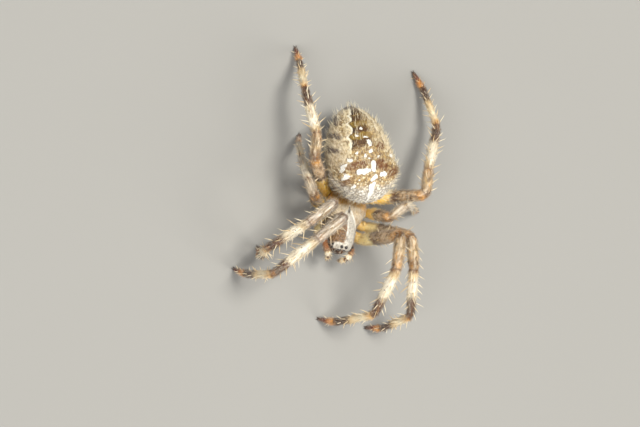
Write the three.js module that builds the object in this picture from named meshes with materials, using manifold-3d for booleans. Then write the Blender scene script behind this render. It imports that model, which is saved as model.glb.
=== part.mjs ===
// An orb weaver spider: a full-grown female cross spider, Araneus diadematus, as a still life-size model.
// Millimetres, +Z up. The head points along -Y, the animal's left side is +X and its feet stand on Z = 0.
// Each leg bends along one smooth line, and thin cuts part it into the segments a person would name.

import * as THREE from 'three';
import { mergeVertices } from 'three/addons/utils/BufferGeometryUtils.js';
import Module from 'manifold-3d';

// ---------- Driving dimensions ----------

const GAP = 0.05; // clearance between neighbouring pieces
const FOOT_HEIGHT = 0.18; // of the middle of a foot's tip above the floor
const THINNEST = 0.25; // smallest radius of a leg
const TARSUS_FLARE = 12; // degrees that a tarsus lies flatter than its metatarsus

// The front body (prosoma) carries the legs. Places on it are in its own frame, head toward -Y.
const PROSOMA = { height: 2.6, pitch: -3, roll: 6 };
const CARAPACE = { front: -2.7, rear: 2.3, rim: -0.1, belly: 0.08 };
const STERNUM = { front: -1.42, rear: 1.65, width: 1.8, top: -0.25, bottom: -1.12, bevel: 0.12 };
const PEDICEL = { radius: 0.34, start: [0, 1.5, -0.5], end: [-0.1, 3.6, -0.1] };

// The rear body (opisthosoma) hangs from the pedicel, swung a little to the right and nose up.
const ABDOMEN = {
  length: 7.8,
  width: 5.25,
  top: 2.55,
  bottom: 2.35,
  shoulder: 0.34, // place of the widest section, as a share of the length
  hump: 0.1, // how far the shoulder humps stand out, as a share of the section
  humpPlace: 0.27, // their place, as a share of the length
  centre: [-0.2, 4.64, 3.9],
  yaw: 17.5,
  pitch: -11,
  roll: 6,
};

// The three pairs of spinnerets, front, rear and the small inner ones, on the left.
const SPINNERETS = [
  { out: 0.26, back: 2.1, radius: 0.26 },
  { out: 0.22, back: 2.75, radius: 0.24 },
  { out: 0.12, back: 2.45, radius: 0.16 },
];

// Segment lengths and stoutness of the four pairs of legs, first to last.
const LEGS = [
  { femur: 5.2, patella: 2.65, tibia: 4.4, metatarsus: 4.3, tarsus: 1.5, girth: 1.0 },
  { femur: 4.8, patella: 2.45, tibia: 3.9, metatarsus: 3.8, tarsus: 1.4, girth: 0.97 },
  { femur: 3.0, patella: 1.5, tibia: 2.25, metatarsus: 2.2, tarsus: 1.1, girth: 0.84 },
  { femur: 4.7, patella: 2.0, tibia: 3.8, metatarsus: 3.6, tarsus: 1.3, girth: 0.93 },
];

// Where each left coxa starts, beside the sternum, and where it carries its femur.
const COXAE = [
  { root: [0.72, -1.06, -0.74], hip: [1.88, -1.6, -0.42] },
  { root: [0.76, -0.38, -0.74], hip: [2.2, -0.55, -0.45] },
  { root: [0.72, 0.34, -0.74], hip: [2.15, 0.58, -0.45] },
  { root: [0.6, 0.98, -0.74], hip: [1.78, 1.65, -0.42] },
];

// The pose. A pair holds a heading, in degrees from straight out sideways toward the rear, and a rise
// above level. Metatarsus and tarsus have a heading only: they drop as steeply as the floor asks.
const POSES = {
  left: [
    { femur: [24, 74], patella: [-92, 12], tibia: [-96, -32], metatarsus: -152, tarsus: 174 },
    { femur: [-10, 62], patella: [-76, -1], tibia: [-77, -19], metatarsus: -127, tarsus: -176 },
    { femur: [-18, 73], patella: [49, 5], tibia: [5, -54], metatarsus: -6, tarsus: 6 },
    { femur: [13, 27], patella: [88, -15], tibia: [81, -16], metatarsus: 109, tarsus: 125 },
  ],
  right: [
    { femur: [93, 78], patella: [-48, -3], tibia: [-51, -21], metatarsus: -7, tarsus: 32 },
    { femur: [67, 77], patella: [-46, -1], tibia: [-46, -30], metatarsus: 206, tarsus: 98 },
    { femur: [11, 62], patella: [73, -33], tibia: [76, -35], metatarsus: 106, tarsus: 110 },
    { femur: [39, 47], patella: [96, -22], tibia: [71, -18], metatarsus: 96, tarsus: 79 },
  ],
};

// Radii of a leg of girth 1 at its joints, and how much each segment swells between them.
const JOINT_RADII = { root: 0.3, hip: 0.41, knee: 0.43, shin: 0.4, ankle: 0.33, heel: 0.27, tip: 0.25 };
const SWELLS = { coxa: 0.06, femur: 0.12, patella: 0.05, tibia: 0.05, foot: 0.02 };
const BEND = 0.55; // length of leg that a joint's bend takes on each side

const SIDES = { left: 1, right: -1 };
const MATERIALS = {
  leg: { color: 0x9c7f5e, roughness: 0.75 },
  thigh: { color: 0xb98a4a, roughness: 0.6 },
  foot: { color: 0xc9a36f, roughness: 0.7 },
  shield: { color: 0xb5a48d, roughness: 0.7 },
  underside: { color: 0x3a2a1e, roughness: 0.6 },
  abdomen: { color: 0xb79a72, roughness: 0.8 },
  jaw: { color: 0x6b3f22, roughness: 0.45 },
  fang: { color: 0x2a0f0a, roughness: 0.25 },
  eye: { color: 0x060505, roughness: 0.08 },
  spinneret: { color: 0x6d5238, roughness: 0.7 },
};

// ---------- Small helpers ----------

const wasm = await Module();
wasm.setup();

const radians = THREE.MathUtils.degToRad;
const lerp = THREE.MathUtils.lerp;
const point = (coordinates) => new THREE.Vector3(...coordinates);

/** A place given for the left side, moved to the side asked for. */
function onSide([x, y, z], side) {
  return new THREE.Vector3(x * SIDES[side], y, z);
}

/** The unit vector of a heading and a rise, mirrored for the right side. */
function direction(side, heading, rise) {
  const level = Math.cos(rise);
  const outward = SIDES[side] * level * Math.cos(heading);
  return new THREE.Vector3(outward, level * Math.sin(heading), Math.sin(rise));
}

/** A closed surface through rings of equal count, closed by a fan at each end. */
function loft(rings) {
  const count = rings[0].length;
  const middle = (ring) => ring.reduce((sum, p) => sum.add(p), new THREE.Vector3()).divideScalar(count);
  const points = [middle(rings[0]), ...rings.flat(), middle(rings.at(-1))];
  const last = points.length - 1;
  const index = [];
  for (let i = 0; i < count; i += 1) {
    const next = (i + 1) % count;
    index.push(0, 1 + next, 1 + i);
    for (let k = 0; k < rings.length - 1; k += 1) {
      const a = 1 + k * count;
      const b = a + count;
      index.push(a + i, a + next, b + next, a + i, b + next, b + i);
    }
    const end = last - count;
    index.push(last, end + i, end + next);
  }
  const geometry = new THREE.BufferGeometry().setFromPoints(points);
  geometry.setIndex(index);
  geometry.computeVertexNormals();
  return geometry;
}

/** Stations { at, along, radius } swept into a tube of round rings. */
function tube(stations, sides) {
  let across = new THREE.Vector3(0, 0, 1);
  const rings = stations.map(({ at, along, radius }) => {
    across = across.clone().addScaledVector(along, -across.dot(along)).normalize();
    const up = new THREE.Vector3().crossVectors(along, across);
    return Array.from({ length: sides }, (_, i) => {
      const angle = (2 * Math.PI * i) / sides;
      return at
        .clone()
        .addScaledVector(across, radius * Math.cos(angle))
        .addScaledVector(up, radius * Math.sin(angle));
    });
  });
  return loft(rings);
}

/** Stations of a half ball that closes a tube at its end. */
function roundEnd({ at, along, radius }, steps) {
  return Array.from({ length: steps }, (_, i) => {
    const angle = (Math.PI / 2) * ((i + 1) / (steps + 0.5));
    return {
      at: at.clone().addScaledVector(along, radius * Math.sin(angle)),
      along,
      radius: radius * Math.cos(angle),
    };
  });
}

function toManifold(geometry) {
  const plain = geometry.clone();
  plain.deleteAttribute('normal');
  plain.deleteAttribute('uv');
  const merged = mergeVertices(plain, 1e-5);
  return new wasm.Manifold(
    new wasm.Mesh({
      numProp: 3,
      vertProperties: new Float32Array(merged.attributes.position.array),
      triVerts: new Uint32Array(merged.index.array),
    }),
  );
}

function toGeometry(manifold) {
  const mesh = manifold.getMesh();
  const geometry = new THREE.BufferGeometry();
  geometry.setAttribute('position', new THREE.BufferAttribute(new Float32Array(mesh.vertProperties), 3));
  geometry.setIndex(new THREE.BufferAttribute(new Uint32Array(mesh.triVerts), 1));
  geometry.computeVertexNormals();
  return geometry;
}

/** A geometry with the room that its neighbours need taken out of it. */
function trimmed(geometry, cutters) {
  const cut = (solid, cutter) => solid.subtract(toManifold(cutter));
  return toGeometry(cutters.reduce(cut, toManifold(geometry)));
}

function named(name, geometry, look) {
  const mesh = new THREE.Mesh(geometry, new THREE.MeshStandardMaterial({ metalness: 0, ...MATERIALS[look] }));
  mesh.name = name;
  return mesh;
}

// ---------- Front body: shield, breastplate, eyes, jaws and palps ----------

/** Half width and height of the shield above its rim, from the face back to the rear edge. */
const shieldPlan = new THREE.SplineCurve([
  new THREE.Vector2(0.78, 0.62),
  new THREE.Vector2(1.0, 0.86),
  new THREE.Vector2(1.04, 0.98),
  new THREE.Vector2(1.14, 0.94),
  new THREE.Vector2(1.5, 0.88),
  new THREE.Vector2(1.76, 0.84),
  new THREE.Vector2(1.7, 0.64),
  new THREE.Vector2(1.3, 0.32),
  new THREE.Vector2(0.5, 0.12),
]);

/** The carapace: a domed shield over a gently bellied underside, with a narrow raised head. */
function carapaceGeometry(grow = 0) {
  const stations = 15;
  const around = 20;
  const rings = Array.from({ length: stations }, (_, k) => {
    const share = k / (stations - 1);
    const plan = shieldPlan.getPoint(share);
    const y = lerp(CARAPACE.front - grow, CARAPACE.rear + grow, share);
    return Array.from({ length: around }, (__, i) => {
      const angle = (-2 * Math.PI * i) / around;
      const height = Math.sin(angle) > 0 ? plan.y : CARAPACE.belly;
      return new THREE.Vector3(
        (plan.x + grow) * Math.cos(angle),
        y,
        CARAPACE.rim + (height + grow) * Math.sin(angle),
      );
    });
  });
  return loft(rings);
}

/** The sternum: a heart-shaped block between the coxae. */
function sternumGeometry(grow = 0) {
  const outline = new THREE.Shape();
  const front = STERNUM.front - grow;
  const rear = STERNUM.rear + grow;
  const half = STERNUM.width / 2 + grow;
  outline.moveTo(0, front);
  outline.quadraticCurveTo(half, front, half, -0.65);
  outline.quadraticCurveTo(half, 0.35, 0, rear);
  outline.quadraticCurveTo(-half, 0.35, -half, -0.65);
  outline.quadraticCurveTo(-half, front, 0, front);
  const geometry = new THREE.ExtrudeGeometry(outline, {
    depth: STERNUM.top - STERNUM.bottom - 2 * STERNUM.bevel + 2 * grow,
    bevelSize: STERNUM.bevel,
    bevelThickness: STERNUM.bevel,
    bevelOffset: -STERNUM.bevel,
    bevelSegments: 2,
    curveSegments: 4,
  });
  return geometry.translate(0, 0, STERNUM.bottom + STERNUM.bevel - grow);
}

/** Eyes: radius and place on the left. The middle four are the largest, the outer pairs touch. */
const EYES = {
  eye_front_middle: { radius: 0.14, at: [0.2, -2.68, 0.32] },
  eye_rear_middle: { radius: 0.13, at: [0.18, -2.52, 0.63] },
  eye_front_outer: { radius: 0.1, at: [0.76, -2.6, 0.2] },
  eye_rear_outer: { radius: 0.1, at: [0.83, -2.4, 0.38] },
};

function eyeGeometry({ radius, at }, side) {
  const place = onSide(at, side);
  const ball = new THREE.SphereGeometry(radius, 8, 5).translate(place.x, place.y, place.z);
  return trimmed(ball, [carapaceGeometry(GAP)]);
}

/** A limb part along a bent line, from hand-set places and radii. */
function limbGeometry(places, radii, side, sides) {
  const line = new THREE.CatmullRomCurve3(places.map((place) => onSide(place, side)));
  const steps = 3 * (places.length - 1);
  const stations = Array.from({ length: steps + 1 }, (_, i) => {
    const share = i / steps;
    const span = share * (radii.length - 1);
    const from = Math.min(Math.floor(span), radii.length - 2);
    return {
      at: line.getPoint(share),
      along: line.getTangent(share),
      radius: lerp(radii[from], radii[from + 1], span - from),
    };
  });
  return tube([...stations, ...roundEnd(stations.at(-1), 2)], sides);
}

/** The jaw's stout base, hanging down from the face. */
function cheliceraGeometry(side) {
  const places = [[0.44, -2.2, 0.2], [0.46, -2.52, -0.6], [0.44, -2.66, -1.3]];
  return trimmed(limbGeometry(places, [0.36, 0.4, 0.3], side, 10), [carapaceGeometry(GAP)]);
}

/** The fang, folded back and inward below its jaw. */
function fangGeometry(side) {
  const places = [[0.49, -2.7, -1.68], [0.36, -2.5, -1.86], [0.2, -2.15, -1.8]];
  return limbGeometry(places, [0.13, 0.1, 0.05], side, 7);
}

/** The pedipalp: a small leg beside the mouth, raised and curled in front of the jaws. */
function pedipalpGeometry(side) {
  const places = [
    [0.42, -1.72, -0.95],
    [0.92, -1.84, -0.82],
    [1.14, -2.35, -0.42],
    [1.0, -2.95, -0.1],
    [0.76, -3.32, -0.38],
    [0.52, -3.46, -1.0],
  ];
  const limb = limbGeometry(places, [0.26, 0.26, 0.26, 0.27, 0.26, 0.25], side, 8);
  return trimmed(limb, [carapaceGeometry(GAP), sternumGeometry(GAP)]);
}

// ---------- Rear body: abdomen, pedicel and spinnerets ----------

/** How full the abdomen is at a share of its length: round in front, tapering to a blunt rear. */
function fullness(share) {
  const { shoulder } = ABDOMEN;
  if (share < shoulder) return Math.sqrt(1 - ((shoulder - share) / shoulder) ** 2);
  return (1 - ((share - shoulder) / (1 - shoulder)) ** 2.1) ** 0.55;
}

/** The underside rises toward the front, so that the abdomen overhangs the shield. */
function bellyFullness(share) {
  const { shoulder } = ABDOMEN;
  if (share < shoulder) return 1 - ((shoulder - share) / shoulder) ** 1.2;
  return fullness(share);
}

const squared = (value) => Math.sign(value) * Math.abs(value) ** 0.9;

function abdomenGeometry(grow = 0) {
  const stations = 20;
  const around = 28;
  const rings = Array.from({ length: stations }, (_, k) => {
    const share = (1 - Math.cos((Math.PI * (k + 0.6)) / (stations + 0.2))) / 2;
    return Array.from({ length: around }, (__, i) => {
      const angle = (-2 * Math.PI * i) / around;
      const rise = Math.sin(angle);
      const fromShoulder = (share - ABDOMEN.humpPlace) / 0.1;
      const fromHump = (Math.abs(Math.cos(angle)) - 0.85) / 0.25;
      const hump = rise > 0 ? ABDOMEN.hump * Math.exp(-(fromShoulder ** 2) - fromHump ** 2) : 0;
      const height = rise > 0 ? ABDOMEN.top * fullness(share) : ABDOMEN.bottom * bellyFullness(share);
      return new THREE.Vector3(
        ((ABDOMEN.width / 2) * fullness(share) * (1 + hump) + grow) * squared(Math.cos(angle)),
        (share - 0.5) * (ABDOMEN.length + 2 * grow),
        (height * (1 + hump) + grow) * squared(rise),
      );
    });
  });
  return loft(rings);
}

/** Three pairs of short teats on a low mound, under the rear of the abdomen. */
function spinneretsGeometry() {
  const mound = new THREE.SphereGeometry(0.55, 10, 6).scale(0.85, 1.05, 0.8).translate(0, 2.42, -1.42);
  const cones = [mound];
  for (const { out, back, radius } of SPINNERETS) {
    for (const side of Object.keys(SIDES)) {
      const places = [[out, back, -1.2], [out * 0.7, back + 0.1, -1.9]];
      cones.push(limbGeometry(places, [radius, 0.6 * radius], side, 6));
    }
  }
  const cluster = cones.slice(1).reduce((solid, cone) => solid.add(toManifold(cone)), toManifold(cones[0]));
  return toGeometry(cluster.subtract(toManifold(abdomenGeometry(GAP))));
}

// ---------- Legs ----------

/** The leg's joints from root to tip, in order along the leg. */
function legJoints(side, number, prosoma) {
  const size = LEGS[number - 1];
  const pose = POSES[side][number - 1];
  const { root, hip } = COXAE[number - 1];
  const joints = [root, hip].map((place) => onSide(place, side).applyMatrix4(prosoma));
  for (const segment of ['femur', 'patella', 'tibia']) {
    const [heading, rise] = pose[segment].map(radians);
    joints.push(joints.at(-1).clone().addScaledVector(direction(side, heading, rise), size[segment]));
  }
  const flare = radians(TARSUS_FLARE);
  const reach = size.metatarsus + size.tarsus * Math.cos(flare);
  const slack = size.tarsus * Math.sin(flare);
  const height = joints.at(-1).z - FOOT_HEIGHT;
  const drop = Math.asin(height / Math.hypot(reach, slack)) + Math.atan2(slack, reach);
  const heel = joints
    .at(-1)
    .clone()
    .addScaledVector(direction(side, radians(pose.metatarsus), -drop), size.metatarsus);
  const tip = heel.clone().addScaledVector(direction(side, radians(pose.tarsus), flare - drop), size.tarsus);
  return [...joints, heel, tip];
}

/** Stations round the bend at joint i, over a share of the bend's curve. */
function bend(joints, i, from, to, steps) {
  const toward = (other) => {
    const way = other.clone().sub(joints[i]);
    return joints[i].clone().addScaledVector(way, Math.min(0.45, BEND / way.length()));
  };
  const curve = new THREE.QuadraticBezierCurve3(toward(joints[i - 1]), joints[i], toward(joints[i + 1]));
  return Array.from({ length: steps }, (_, k) => {
    const share = lerp(from, to, k / (steps - 1));
    return { at: curve.getPoint(share), along: curve.getTangent(share) };
  });
}

/** Adds radii to stations: even between the end radii, with a swell between them. */
function withRadii(stations, start, end, swell) {
  const lengths = [0];
  for (let i = 1; i < stations.length; i += 1) {
    lengths.push(lengths[i - 1] + stations[i].at.distanceTo(stations[i - 1].at));
  }
  return stations.map((station, i) => {
    const share = lengths[i] / lengths.at(-1);
    const radius = lerp(start, end, share) + swell * Math.sin(Math.PI * share);
    return { ...station, radius: Math.max(radius, THINNEST) };
  });
}

/** Stations from one run to the next, with two more on the straight between them. */
function joined(first, second) {
  const a = first.at(-1);
  const b = second[0];
  const between = [1 / 3, 2 / 3].map((share) => ({ at: a.at.clone().lerp(b.at, share), along: b.along }));
  return [...first, ...between, ...second];
}

/** Moves a run's ends in by half the gap, so that neighbours stay apart. */
function parted(stations, atStart, atEnd) {
  const run = stations.map((station) => ({ ...station, at: station.at.clone() }));
  if (atStart) run[0].at.addScaledVector(run[0].along, GAP / 2);
  if (atEnd) run.at(-1).at.addScaledVector(run.at(-1).along, -GAP / 2);
  return run;
}

function settleOnFloor(geometry) {
  const places = geometry.attributes.position;
  for (let i = 0; i < places.count; i += 1) places.setZ(i, Math.max(places.getZ(i), 0));
  geometry.computeVertexNormals();
  return geometry;
}

function legMeshes(side, number, prosoma, neighbours) {
  const { girth } = LEGS[number - 1];
  const joints = legJoints(side, number, prosoma);
  const radius = Object.fromEntries(Object.entries(JOINT_RADII).map(([joint, r]) => [joint, r * girth]));
  const segmentName = (part) => `leg_${number}_${side}_${part}`;

  const rootWay = joints[1].clone().sub(joints[0]).normalize();
  const coxaRun = joined([{ at: joints[0], along: rootWay }], bend(joints, 1, 0, 0.5, 3));
  const coxa = tube(withRadii(parted(coxaRun, false, true), radius.root, radius.hip, SWELLS.coxa), 9);
  const meshes = [named(segmentName('coxa'), trimmed(coxa, neighbours), 'thigh')];

  const spans = [
    ['femur', 'hip', 'knee', 'thigh'],
    ['patella', 'knee', 'shin', 'leg'],
    ['tibia', 'shin', 'ankle', 'leg'],
  ];
  spans.forEach(([part, start, end, look], i) => {
    const run = joined(bend(joints, i + 1, 0.5, 1, 2), bend(joints, i + 2, 0, 0.5, 2));
    const stations = withRadii(parted(run, true, true), radius[start], radius[end], SWELLS[part]);
    meshes.push(named(segmentName(part), tube(stations, 10), look));
  });

  const tipWay = joints[6].clone().sub(joints[5]).normalize();
  const lowerRun = [...bend(joints, 5, 0, 1, 3), { at: joints[6], along: tipWay }];
  const footRun = joined(bend(joints, 4, 0.5, 1, 2), lowerRun);
  const footStations = withRadii(parted(footRun, true, false), radius.ankle, radius.tip, SWELLS.foot);
  const foot = tube([...footStations, ...roundEnd(footStations.at(-1), 3)], 8);
  meshes.push(named(segmentName('foot'), settleOnFloor(foot), 'foot'));
  return meshes;
}

// ---------- Assembly ----------

const spider = new THREE.Group();

const frontBody = new THREE.Group();
frontBody.position.set(0, 0, PROSOMA.height);
frontBody.rotation.set(radians(PROSOMA.pitch), radians(PROSOMA.roll), 0, 'XYZ');
frontBody.updateMatrix();

const rearBody = new THREE.Group();
rearBody.position.set(...ABDOMEN.centre);
rearBody.rotation.set(radians(ABDOMEN.pitch), radians(ABDOMEN.roll), radians(ABDOMEN.yaw), 'ZXY');
rearBody.updateMatrix();

frontBody.add(named('carapace', carapaceGeometry(), 'shield'));
frontBody.add(named('sternum', sternumGeometry(), 'underside'));
for (const side of Object.keys(SIDES)) {
  frontBody.add(named(`chelicera_${side}`, cheliceraGeometry(side), 'jaw'));
  frontBody.add(named(`fang_${side}`, fangGeometry(side), 'fang'));
  frontBody.add(named(`pedipalp_${side}`, pedipalpGeometry(side), 'leg'));
  for (const [name, eye] of Object.entries(EYES)) {
    frontBody.add(named(`${name}_${side}`, eyeGeometry(eye, side), 'eye'));
  }
}

rearBody.add(named('abdomen', abdomenGeometry(), 'abdomen'));
rearBody.add(named('spinnerets', spinneretsGeometry(), 'spinneret'));

const shieldRoom = carapaceGeometry(GAP).applyMatrix4(frontBody.matrix);
const sternumRoom = sternumGeometry(GAP).applyMatrix4(frontBody.matrix);
const abdomenRoom = abdomenGeometry(GAP).applyMatrix4(rearBody.matrix);

const waist = [PEDICEL.start, PEDICEL.end].map((place) => point(place).applyMatrix4(frontBody.matrix));
const waistWay = waist[1].clone().sub(waist[0]).normalize();
const waistTube = tube(waist.map((at) => ({ at, along: waistWay, radius: PEDICEL.radius })), 12);
const pedicel = trimmed(waistTube, [shieldRoom, sternumRoom, abdomenRoom]);

spider.add(frontBody, rearBody, named('pedicel', pedicel, 'underside'));
for (const side of Object.keys(SIDES)) {
  for (let number = 1; number <= LEGS.length; number += 1) {
    spider.add(...legMeshes(side, number, frontBody.matrix, [shieldRoom, sternumRoom]));
  }
}

// The origin is the middle of the footprint, on the floor.
spider.updateMatrixWorld(true);
const middle = new THREE.Box3().setFromObject(spider, true).getCenter(new THREE.Vector3());
spider.position.set(-middle.x, -middle.y, 0);

export default spider;
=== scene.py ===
from math import cos, pi, radians, sin
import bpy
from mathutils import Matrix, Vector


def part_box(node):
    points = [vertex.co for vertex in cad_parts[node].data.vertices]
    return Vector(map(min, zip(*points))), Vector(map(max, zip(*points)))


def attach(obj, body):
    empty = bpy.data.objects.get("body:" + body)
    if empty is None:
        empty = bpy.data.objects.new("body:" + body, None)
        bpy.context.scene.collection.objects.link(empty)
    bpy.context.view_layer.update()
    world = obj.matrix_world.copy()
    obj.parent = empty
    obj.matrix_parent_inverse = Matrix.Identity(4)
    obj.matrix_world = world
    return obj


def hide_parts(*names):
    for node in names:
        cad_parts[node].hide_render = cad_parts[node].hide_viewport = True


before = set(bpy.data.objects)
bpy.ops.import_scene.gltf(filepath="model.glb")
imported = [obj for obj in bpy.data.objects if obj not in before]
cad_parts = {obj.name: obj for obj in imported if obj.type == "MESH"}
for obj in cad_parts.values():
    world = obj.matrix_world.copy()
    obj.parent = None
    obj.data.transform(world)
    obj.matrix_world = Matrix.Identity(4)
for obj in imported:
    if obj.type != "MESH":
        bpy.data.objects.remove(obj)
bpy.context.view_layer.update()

from types import SimpleNamespace

import bmesh
import bpy
import numpy as np
from mathutils import Matrix, Vector

# ----------------------------------------
# The studio. The spider stands on a plain pale floor under three soft lamps and an even pale sky: a strong
# lamp almost overhead, a wide one on its front right and a weaker one on its front left. The camera looks
# down on its back from its right, through a long lens.


def tint(colour):
    """A six-figure paint code in the plain light values that Blender works in. Other values stay."""
    if not isinstance(colour, str):
        return colour
    parts = [int(colour[i : i + 2], 16) / 255 for i in (0, 2, 4)]
    return (*[p / 12.92 if p <= 0.04045 else ((p + 0.055) / 1.055) ** 2.4 for p in parts], 1.0)


class Wire:
    """A wire in a material. It adds and multiplies like a number, and every step makes its own node."""

    def __init__(self, tree, socket=None):
        self.tree = tree
        self.socket = socket

    def node(self, kind, settings=None, values=None, out=0):
        """The wire from one output of a new node. Its settings come first, then what its sockets hold."""
        made = self.tree.nodes.new("ShaderNode" + kind)
        for name, setting in (settings or {}).items():
            if name == "stops":
                while len(made.color_ramp.elements) < len(setting):
                    made.color_ramp.elements.new(1.0)
                for stop, (at, colour) in zip(made.color_ramp.elements, setting):
                    stop.position = at
                    stop.color = tint(colour)
            else:
                setattr(made, name, setting)
        for name, value in (values or {}).items():
            if isinstance(value, Wire):
                self.tree.links.new(value.socket, made.inputs[name])
            else:
                made.inputs[name].default_value = tint(value)
        return Wire(self.tree, made.outputs[out])

    def math(self, operation, *others):
        return self.node("Math", {"operation": operation}, dict(enumerate((self, *others))))

    def __add__(self, other):
        return self.math("ADD", other)

    __radd__ = __add__

    def __sub__(self, other):
        return self.math("SUBTRACT", other)

    def __rsub__(self, other):
        return self.node("Math", {"operation": "SUBTRACT"}, {0: other, 1: self})

    def __mul__(self, other):
        return self.math("MULTIPLY", other)

    __rmul__ = __mul__

    def __truediv__(self, other):
        return self.math("DIVIDE", other)

    def __abs__(self):
        return self.math("ABSOLUTE")

    def rise(self, low, high):
        """0 up to low, 1 from high on and a smooth step between, or the other way round if high is lower."""
        ends = {"Value": self, "From Min": low, "From Max": high}
        return self.node("MapRange", {"interpolation_type": "SMOOTHSTEP"}, ends)

    def ramp(self, stops):
        return self.node("ValToRGB", {"stops": stops}, {0: self})

    def paint(self, under, over):
        """The colour under where this share is 0, and over where it is 1."""
        return self.node("Mix", {"data_type": "RGBA"}, {0: self, 6: under, 7: over}, 2)

    def painted(self, *coats):
        """This colour under coats of paint, each a share and the colour that it lays."""
        colour = self
        for share, paint in coats:
            colour = share.paint(colour, paint)
        return colour

    def place(self):
        """The place on a piece, in metres."""
        return self.node("TexCoord", out=3)

    def spot(self):
        """The place that a piece's points keep, in millimetres on its own body or limb."""
        return self.node("Attribute", {"attribute_name": "spot"}, None, 1)

    def axes(self):
        split = self.node("SeparateXYZ", None, {0: self}).socket.node
        return [Wire(self.tree, socket) for socket in split.outputs]

    def stretched(self, x, y, z):
        return self.node("VectorMath", {"operation": "MULTIPLY"}, {0: self, 1: (x, y, z)})

    def noise(self, scale, detail=2.0, rough=0.5, out=0):
        """A smooth noise here. Output 1 holds three of them, as a colour."""
        values = {"Vector": self, "Scale": scale, "Detail": detail, "Roughness": rough}
        return self.node("TexNoise", None, values, out)

    def cells(self, scale, out=0):
        """The distance to the nearest of many scattered points. Output 1 is each cell's own colour."""
        return self.node("TexVoronoi", None, {"Vector": self, "Scale": scale}, out)


def finish_with(name, look, **shine):
    """A material on a Principled shader: look(wire) gives what varies, and shine holds what doesn't."""
    material = bpy.data.materials.new(name)
    material.use_nodes = True
    tree = material.node_tree
    shader = tree.nodes["Principled BSDF"]
    for socket, value in shine.items():
        shader.inputs[socket.replace("_", " ")].default_value = value
    for socket, value in look(Wire(tree)).items():
        tree.links.new(value.socket, shader.inputs[socket])
    return material


def floor_look(wire):
    place = wire.place()
    return {
        "Base Color": place.noise(9.0, 3.0).paint("96948e", "9b9993"),
        "Roughness": place.noise(60.0) * 0.1 + 0.75,
    }


def placed(name, data):
    """A new object in the scene, at the origin, unturned and unscaled."""
    made = bpy.data.objects.new(name, data)
    bpy.context.scene.collection.objects.link(made)
    return made


MM = 0.001  # the pieces are shaped in millimetres, and the scene is in metres


def mesh_of(name, shape):
    """A mesh from a bmesh, which ends there."""
    mesh = bpy.data.meshes.new(name)
    shape.to_mesh(mesh)
    shape.free()
    return mesh


def build(name, shape, material, smooth=True):
    """A finished object from a bmesh that was shaped in millimetres, in its place in the scene."""
    mesh = mesh_of(name, shape)
    mesh.transform(Matrix.Scale(MM, 4))
    mesh.materials.append(material)
    if smooth:
        mesh.shade_smooth()
    return placed(name, mesh)


FLOOR_REACH = 1500  # millimetres from the middle of the floor to its edges
FLOOR_DROP = 0.002  # millimetres that it lies below the feet, so that they never share a plane
floor_shape = bmesh.new()
bmesh.ops.create_grid(floor_shape, x_segments=1, y_segments=1, size=FLOOR_REACH)
bmesh.ops.translate(floor_shape, verts=floor_shape.verts, vec=(0, 0, -FLOOR_DROP))
studio_floor = build("studio_floor", floor_shape, finish_with("studio floor", floor_look), smooth=False)


def towards(heading, rise, side=1):
    """The way of a heading, in degrees from straight out to its left (1) or its right (-1) side toward the
    rear, and a rise above level."""
    heading, rise = radians(heading), radians(rise)
    return np.array([side * cos(rise) * cos(heading), cos(rise) * sin(heading), sin(rise)])


LAMPS = (  # name, heading and rise in degrees, distance and size in metres, watts and colour
    ("key lamp", 62, 76, 0.5, 0.17, 2.45, (1.0, 0.98, 0.94)),
    ("fill lamp", 228, 44, 0.6, 0.4, 2.1, (0.98, 0.98, 1.0)),
    ("side lamp", 325, 36, 0.6, 0.3, 1.2, (1.0, 0.98, 0.95)),
)
for name, heading, rise, distance, size, watts, colour in LAMPS:
    light = bpy.data.lights.new(name, "AREA")
    light.shape = "SQUARE"
    light.size = size
    light.energy = watts
    light.color = colour
    lamp = placed(name, light)
    way = Vector(towards(heading, rise))
    lamp.location = way * distance
    lamp.rotation_euler = way.to_track_quat("Z", "Y").to_euler()

sky = bpy.data.worlds.new("studio sky")
sky.use_nodes = True
sky.node_tree.nodes["Background"].inputs["Color"].default_value = (0.92, 0.95, 1.0, 1.0)
sky.node_tree.nodes["Background"].inputs["Strength"].default_value = 0.3
bpy.context.scene.world = sky
bpy.context.scene.view_settings.view_transform = "Standard"

VIEW_HEADING = 191.57  # degrees, counted as the lamps' are
VIEW_RISE = 69.62
VIEW_ROLL = 88.14  # degrees that the camera is turned about its own line of sight
VIEW_DISTANCE = 0.42  # metres
VIEW_WIDTH = 0.04923  # metres that the view is wide at the spider
SENSOR_WIDTH = 36  # millimetres
view_aim = Vector((-1.596, -2.185, 2.185)) * MM
view_way = Vector(towards(VIEW_HEADING, VIEW_RISE))
level_right = Vector((0, 0, 1)).cross(view_way).normalized()
view_right = Matrix.Rotation(radians(VIEW_ROLL), 3, view_way) @ level_right
view_up = view_way.cross(view_right)
camera = placed("camera", bpy.data.cameras.new("camera"))
camera.data.lens = SENSOR_WIDTH * VIEW_DISTANCE / VIEW_WIDTH
camera.data.clip_start = 0.01
camera.matrix_world = Matrix.Translation(view_aim + view_way * VIEW_DISTANCE) @ (
    Matrix((view_right, view_up, view_way)).transposed().to_4x4()
)
bpy.context.scene.camera = camera

# ----------------------------------------
# The skin: one thin, leathery hide over the abdomen, its waist and spinnerets, the soft sides of the front
# body, the legs and the palps. It is swept and blown up round by round, then fused into a single closed hide.

HIDE_GRID = 0.082  # millimetres between the points of the fused hide
COAT = 0.05  # millimetres that the hide lies below the ends of the short coat

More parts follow.
